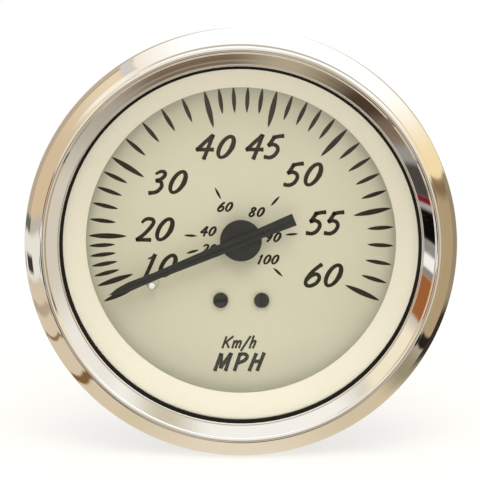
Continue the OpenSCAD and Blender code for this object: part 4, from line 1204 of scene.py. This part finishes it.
blade = add_piece("folded_pointer", folded_blade(), pointer_charcoal, "pointer", "pointer_blade")
print("pointer reaches", POINTER_LENGTH, "mm, faces:", len(blade.data.polygons))

# %% [markdown]
# ## Cup and seals at the back
# The cup is drawn steel under black enamel, with a rolled front rim that the bezel is crimped over. A
# rubber ring seals it to the panel. A lamp holder with two blades and a brass hose tail come out of its
# back.

# %% Cup, seals, hose tail and lamp
FLANGE_WIDTH, PANEL_RING_ROUND = 5.9, 0.3
softened("enamel_cup", case_enamel, "case", "case_shell", width=0.3)
panel_outline = washer(outer_radius("panel_gasket"), back_level("panel_gasket"),
                       front_level("panel_gasket"), PANEL_RING_ROUND,
                       outer_radius("case_shell") - FLANGE_WIDTH)
turned("panel_ring", panel_outline, black_rubber, "case", "panel_gasket")
softened("hose_tail", fitting_brass, "case", "inlet_stem", width=0.12)
softened("fibre_washer", red_fibre, "case", "stem_washer", width=0.12)
softened("lamp_moulding", lamp_black, "case", "lamp_holder", width=0.2)
softened("lamp_blades", terminal_brass, "case", "lamp_terminals", width=0.1)
dress(lamp_glass, "lamp_bulb")
print("cup depth", round(front_level("case_shell") - back_level("case_shell"), 1), "mm")

# %% [markdown]
# ## Threaded studs and nuts
# Two studs come out of the back and draw a clamp against the panel. Their threads are cut at 32 turns
# to the inch. A Geometry Nodes tree winds a sharp ridge round a plain core, so the crest has the size
# of the stud. Hexagon nuts are cut from a bar and turned on one face, which a second tree does by
# trimming a hexagon with a cone. A third tree sets the ridges of the knurl round the thumb nuts.

# %% Threaded studs
STUD_PLACES = (middle("thumb_nut_left"), middle("thumb_nut_right"))
STUD_RADIUS = 2.05
THREAD_PITCH = 25.4 / 32
THREAD_DEPTH, THREAD_GAP = 0.32, 0.05
HEAD_HEIGHT, HEAD_RADIUS, HEAD_TAPER = 1.5, 2.15 * STUD_RADIUS, 0.92


def place_tree(tree, given, geometry):
    """Turns a form built along Z to lie along the instrument's axis and puts one on each point."""
    laid = add_node(tree, "GeometryNodeTransform", {"Geometry": geometry, "Rotation": (math.pi / 2, 0, 0)})
    return add_node(tree, "GeometryNodeInstanceOnPoints",
                    {"Points": given.outputs["Geometry"], "Instance": laid.outputs[0]}).outputs[0]


def raised(tree, geometry, level):
    """Moves a form along the axis to a level."""
    offset = add_node(tree, "ShaderNodeCombineXYZ", {"Z": level}).outputs[0]
    return add_node(tree, "GeometryNodeTransform", {"Geometry": geometry, "Translation": offset}).outputs[0]


def stud_tree():
    """A headed stud: a core, a ridge wound round its back part, and a round head."""
    tree, given, result = new_tree(
        "threaded_stud", "GeometryNodeTree",
        {"Geometry": "Geometry", "Crest": "Float", "Depth": "Float", "Pitch": "Float", "Back": "Float",
         "Thread": "Float", "Shoulder": "Float", "Head": "Float", "Head radius": "Float",
         "Material": "Material"},
        {"Geometry": "Geometry"})
    value = given.outputs
    root = maths(tree, "SUBTRACT", value["Crest"], value["Depth"])
    length = maths(tree, "SUBTRACT", value["Shoulder"], value["Back"])
    core = add_node(tree, "GeometryNodeMeshCylinder", {"Vertices": 32, "Radius": root, "Depth": length})
    core = raised(tree, core.outputs["Mesh"],
                  maths(tree, "MULTIPLY", maths(tree, "ADD", value["Shoulder"], value["Back"]), 0.5))
    wound = maths(tree, "SUBTRACT", value["Thread"], maths(tree, "MULTIPLY", value["Depth"], 2))
    spiral = add_node(tree, "GeometryNodeCurveSpiral", {
        "Resolution": 24, "Rotations": maths(tree, "DIVIDE", wound, value["Pitch"]), "Start Radius": root,
        "End Radius": root, "Height": wound}).outputs[0]
    spiral = add_node(tree, "GeometryNodeSetCurveNormal", {0: spiral}, mode="Z_UP").outputs[0]
    vee = add_node(tree, "GeometryNodeCurvePrimitiveCircle", {"Resolution": 4, "Radius": value["Depth"]})
    ridge = add_node(tree, "GeometryNodeCurveToMesh",
                     {"Curve": spiral, "Profile Curve": vee.outputs[0], "Fill Caps": True}).outputs[0]
    ridge = raised(tree, ridge, maths(tree, "ADD", value["Back"], value["Depth"]))
    top = maths(tree, "MULTIPLY", value["Head radius"], HEAD_TAPER)
    head = add_node(tree, "GeometryNodeMeshCone",
                    {"Vertices": 40, "Radius Top": top, "Radius Bottom": value["Head radius"],
                     "Depth": value["Head"]})
    head = raised(tree, head.outputs["Mesh"], value["Shoulder"])
    end_tree(tree, given, result, place_tree(tree, given, joined(tree, core, ridge, head)))
    return tree


def points_mesh(name, places, level=0.0):
    """A mesh of bare points at places on the dial plane, at one level."""
    mesh = bpy.data.meshes.new(name)
    mesh.from_pydata([(right * MM, -level * MM, up * MM) for right, up in places], [], [])
    return mesh


stud_back, cup_back = back_level("mounting_studs"), back_level("case_shell")
stud_head = front_level("mounting_studs")
stud_mesh = run_tree(stud_tree(), points_mesh("stud_points", STUD_PLACES), {
    "Crest": STUD_RADIUS * MM, "Depth": THREAD_DEPTH * MM, "Pitch": THREAD_PITCH * MM,
    "Back": stud_back * MM, "Thread": (cup_back - stud_back) * MM,
    "Shoulder": (stud_head - HEAD_HEIGHT) * MM, "Head": HEAD_HEIGHT * MM,
    "Head radius": HEAD_RADIUS * MM, "Material": steel})
add_piece("threaded_studs", close_mesh(stud_mesh), steel, "case", "mounting_studs")
print("thread of", round((cup_back - stud_back) / THREAD_PITCH, 1), "turns on each stud")

# %% Hexagon nuts
STEM_RADIUS = 5.0
STUD_NUT_CORNER, STEM_NUT_CORNER = 2.45 * STUD_RADIUS, 1.8 * STEM_RADIUS
FACE_SHARE = 0.82
CHAMFER_RUN = math.sqrt(3)


def hexagon_tree():
    """A hexagon with one face turned to a cone and a bore through it."""
    tree, given, result = new_tree(
        "hexagon_nut", "GeometryNodeTree",
        {"Geometry": "Geometry", "Corner": "Float", "Thickness": "Float", "Bore": "Float",
         "Material": "Material"},
        {"Geometry": "Geometry"})
    value = given.outputs
    half = maths(tree, "MULTIPLY", value["Thickness"], 0.5)
    bar = add_node(tree, "GeometryNodeMeshCylinder",
                   {"Vertices": 6, "Radius": value["Corner"], "Depth": value["Thickness"]}).outputs["Mesh"]
    face = maths(tree, "MULTIPLY", value["Corner"], FACE_SHARE)
    wide = maths(tree, "ADD", face, maths(tree, "MULTIPLY", value["Thickness"], 2 * CHAMFER_RUN))
    cone = add_node(tree, "GeometryNodeMeshCone",
                    {"Vertices": 72, "Radius Top": wide, "Radius Bottom": face,
                     "Depth": maths(tree, "MULTIPLY", value["Thickness"], 2)}).outputs["Mesh"]
    cone = raised(tree, cone, maths(tree, "MULTIPLY", half, -1))
    trimmed = add_node(tree, "GeometryNodeMeshBoolean", operation="INTERSECT", solver="EXACT")
    tree.links.new(bar, trimmed.inputs["Mesh 2"])
    tree.links.new(cone, trimmed.inputs["Mesh 2"])
    drill = add_node(tree, "GeometryNodeMeshCylinder",
                     {"Vertices": 48, "Radius": value["Bore"],
                      "Depth": maths(tree, "MULTIPLY", value["Thickness"], 2)}).outputs["Mesh"]
    bored = add_node(tree, "GeometryNodeMeshBoolean", {"Mesh 1": trimmed.outputs[0], "Mesh 2": drill},
                     operation="DIFFERENCE", solver="EXACT")
    end_tree(tree, given, result, place_tree(tree, given, bored.outputs[0]))
    return tree


HEXAGON = hexagon_tree()


def hexagon_nuts(name, node, places, corner, bore, material):
    """Nuts at places, as thick and as deep as the solid they stand for."""
    front, back = front_level(node), back_level(node)
    host = points_mesh(name + "_points", places, (front + back) / 2)
    mesh = run_tree(HEXAGON, host, {"Corner": corner * MM, "Thickness": (front - back) * MM,
                                    "Bore": bore * MM, "Material": material})
    return add_piece(name, close_mesh(mesh), material, "case", node)


hexagon_nuts("turned_stud_nuts", "stud_nuts", STUD_PLACES, STUD_NUT_CORNER, STUD_RADIUS + THREAD_GAP, steel)
hexagon_nuts("turned_stem_nut", "stem_nut", (middle("stem_nut"),), STEM_NUT_CORNER,
             STEM_RADIUS + THREAD_GAP, fitting_brass)
print("stem nut across corners", 2 * STEM_NUT_CORNER, "mm")

# %% Knurled thumb nuts
KNURLS = 36
KNURL_DEPTH = 0.4
KNURL_MARGIN = 1.0
BOSS_HEIGHT, BOSS_ROUND = 1.0, 0.2
DISH_DEPTH, DISH_FLOOR, DISH_EDGE = 0.5, 0.62, 0.7
NUT_ROUND = 0.5
NUT_STEPS = 72


def knurl_tree():
    """Adds straight ridges round the rim of the turned nut that comes in."""
    tree, given, result = new_tree(
        "knurl", "GeometryNodeTree",
        {"Geometry": "Geometry", "Count": "Int", "Rim": "Float", "Depth": "Float", "Width": "Float",
         "Centre": "Vector", "Material": "Material"}, {"Geometry": "Geometry"})
    value = given.outputs
    rim = maths(tree, "SUBTRACT", value["Rim"], value["Depth"])
    ring = add_node(tree, "GeometryNodeMeshCircle", {"Vertices": value["Count"], "Radius": rim}).outputs[0]
    ridge = add_node(tree, "GeometryNodeMeshCone",
                     {"Vertices": 4, "Side Segments": 1, "Radius Top": value["Depth"],
                      "Radius Bottom": value["Depth"], "Depth": value["Width"]}).outputs["Mesh"]
    index = add_node(tree, "GeometryNodeInputIndex").outputs[0]
    step = maths(tree, "DIVIDE", math.tau, value["Count"])
    turn = add_node(tree, "ShaderNodeCombineXYZ", {"Z": maths(tree, "MULTIPLY", index, step)}).outputs[0]
    turn = add_node(tree, "FunctionNodeEulerToRotation", {0: turn}).outputs[0]
    ridges = add_node(tree, "GeometryNodeInstanceOnPoints",
                      {"Points": ring, "Instance": ridge, "Rotation": turn}).outputs[0]
    laid = add_node(tree, "GeometryNodeTransform", {"Geometry": ridges, "Rotation": (math.pi / 2, 0, 0),
                                                    "Translation": value["Centre"]}).outputs[0]
    end_tree(tree, given, result, joined(tree, value["Geometry"], laid))
    return tree


KNURL = knurl_tree()


def thumb_nut_outline(front, back, rim):
    """Section of a thumb nut without its knurl: a boss in front, a dish at the back."""
    core = rim - KNURL_DEPTH
    bore, boss = STUD_RADIUS + THREAD_GAP, STUD_NUT_CORNER
    wall = front - BOSS_HEIGHT
    outline = [(bore, back + DISH_DEPTH), (rim * DISH_FLOOR, back + DISH_DEPTH), (rim * DISH_EDGE, back)]
    outline += arc((core - NUT_ROUND, back + NUT_ROUND), NUT_ROUND, -90, 0, FINE_CORNER_POINTS)
    outline += arc((core - NUT_ROUND, wall - NUT_ROUND), NUT_ROUND, 0, 90, FINE_CORNER_POINTS)
    outline += [(boss, wall)]
    outline += arc((boss - BOSS_ROUND, front - BOSS_ROUND), BOSS_ROUND, 0, 90, CORNER_POINTS)
    return outline + [(bore, front)]


def thumb_nut(node, body):
    """A turned nut with a boss, dished at the back, with a knurled rim."""
    front, back, rim = front_level(node), back_level(node), outer_radius(node)
    wall = front - BOSS_HEIGHT
    place = middle(node)
    plain = turned_mesh(node, thumb_nut_outline(front, back, rim), fitting_brass, place, NUT_STEPS)
    mesh = run_tree(KNURL, plain, {
        "Count": KNURLS, "Rim": rim * MM, "Depth": KNURL_DEPTH * MM,
        "Width": (wall - back - KNURL_MARGIN) * MM,
        "Centre": (place[0] * MM, -(wall + back) / 2 * MM, place[1] * MM), "Material": fitting_brass})
    return add_piece("knurled_" + body, close_mesh(mesh), fitting_brass, body, node)


for side in ("left", "right"):
    thumb_nut("thumb_nut_" + side, "nut_" + side)
print("knurl ridges on each nut:", KNURLS)

# %% [markdown]
# ## Clamp and works
# The clamp is a bent steel strap with a washer under each nut. The works sit behind the dial, out of
# sight, and keep their solids: brass plates and gears, a bronze pressure tube, steel pins and screws.

# %% Clamp and works
softened("bent_clamp", steel, "clamp", "clamp_bracket", width=0.2)
softened("flat_washers", steel, "clamp", "lock_washers", width=0.1)
dress(movement_brass, "dial_posts", "front_plate", "back_plate", "plate_pillars", "pinion",
      "hairspring_collet", "hairspring_stud", "sector_gear")
dress(fitting_brass, "socket_block", "tip_block")
dress(steel, "pillar_screws", "block_screws", "pointer_spindle", "sector_arbor", "sector_pin",
      "connecting_link", "tip_pin", "hairspring")
bare = [name for name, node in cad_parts.items() if not node.data.materials]
print("solids without a finish:", bare)

# %% [markdown]
# ## The pressure tube
# Water pressure uncurls the bronze tube a little, and its free end pulls the link. A joined copy of the
# tube takes the place of its solid.


def bending_tube():
    """A joined copy of the tube in bronze, put in place of the tube's solid."""
    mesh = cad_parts["bourdon_tube"].data.copy()
    mesh.materials.clear()
    mesh.materials.append(tube_bronze)
    tube = add_object("bending_tube", close_mesh(mesh, SOLID_MERGE))
    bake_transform(tube)
    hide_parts("bourdon_tube")
    return tube


tube = bending_tube()
print("tube faces:", len(tube.data.polygons))
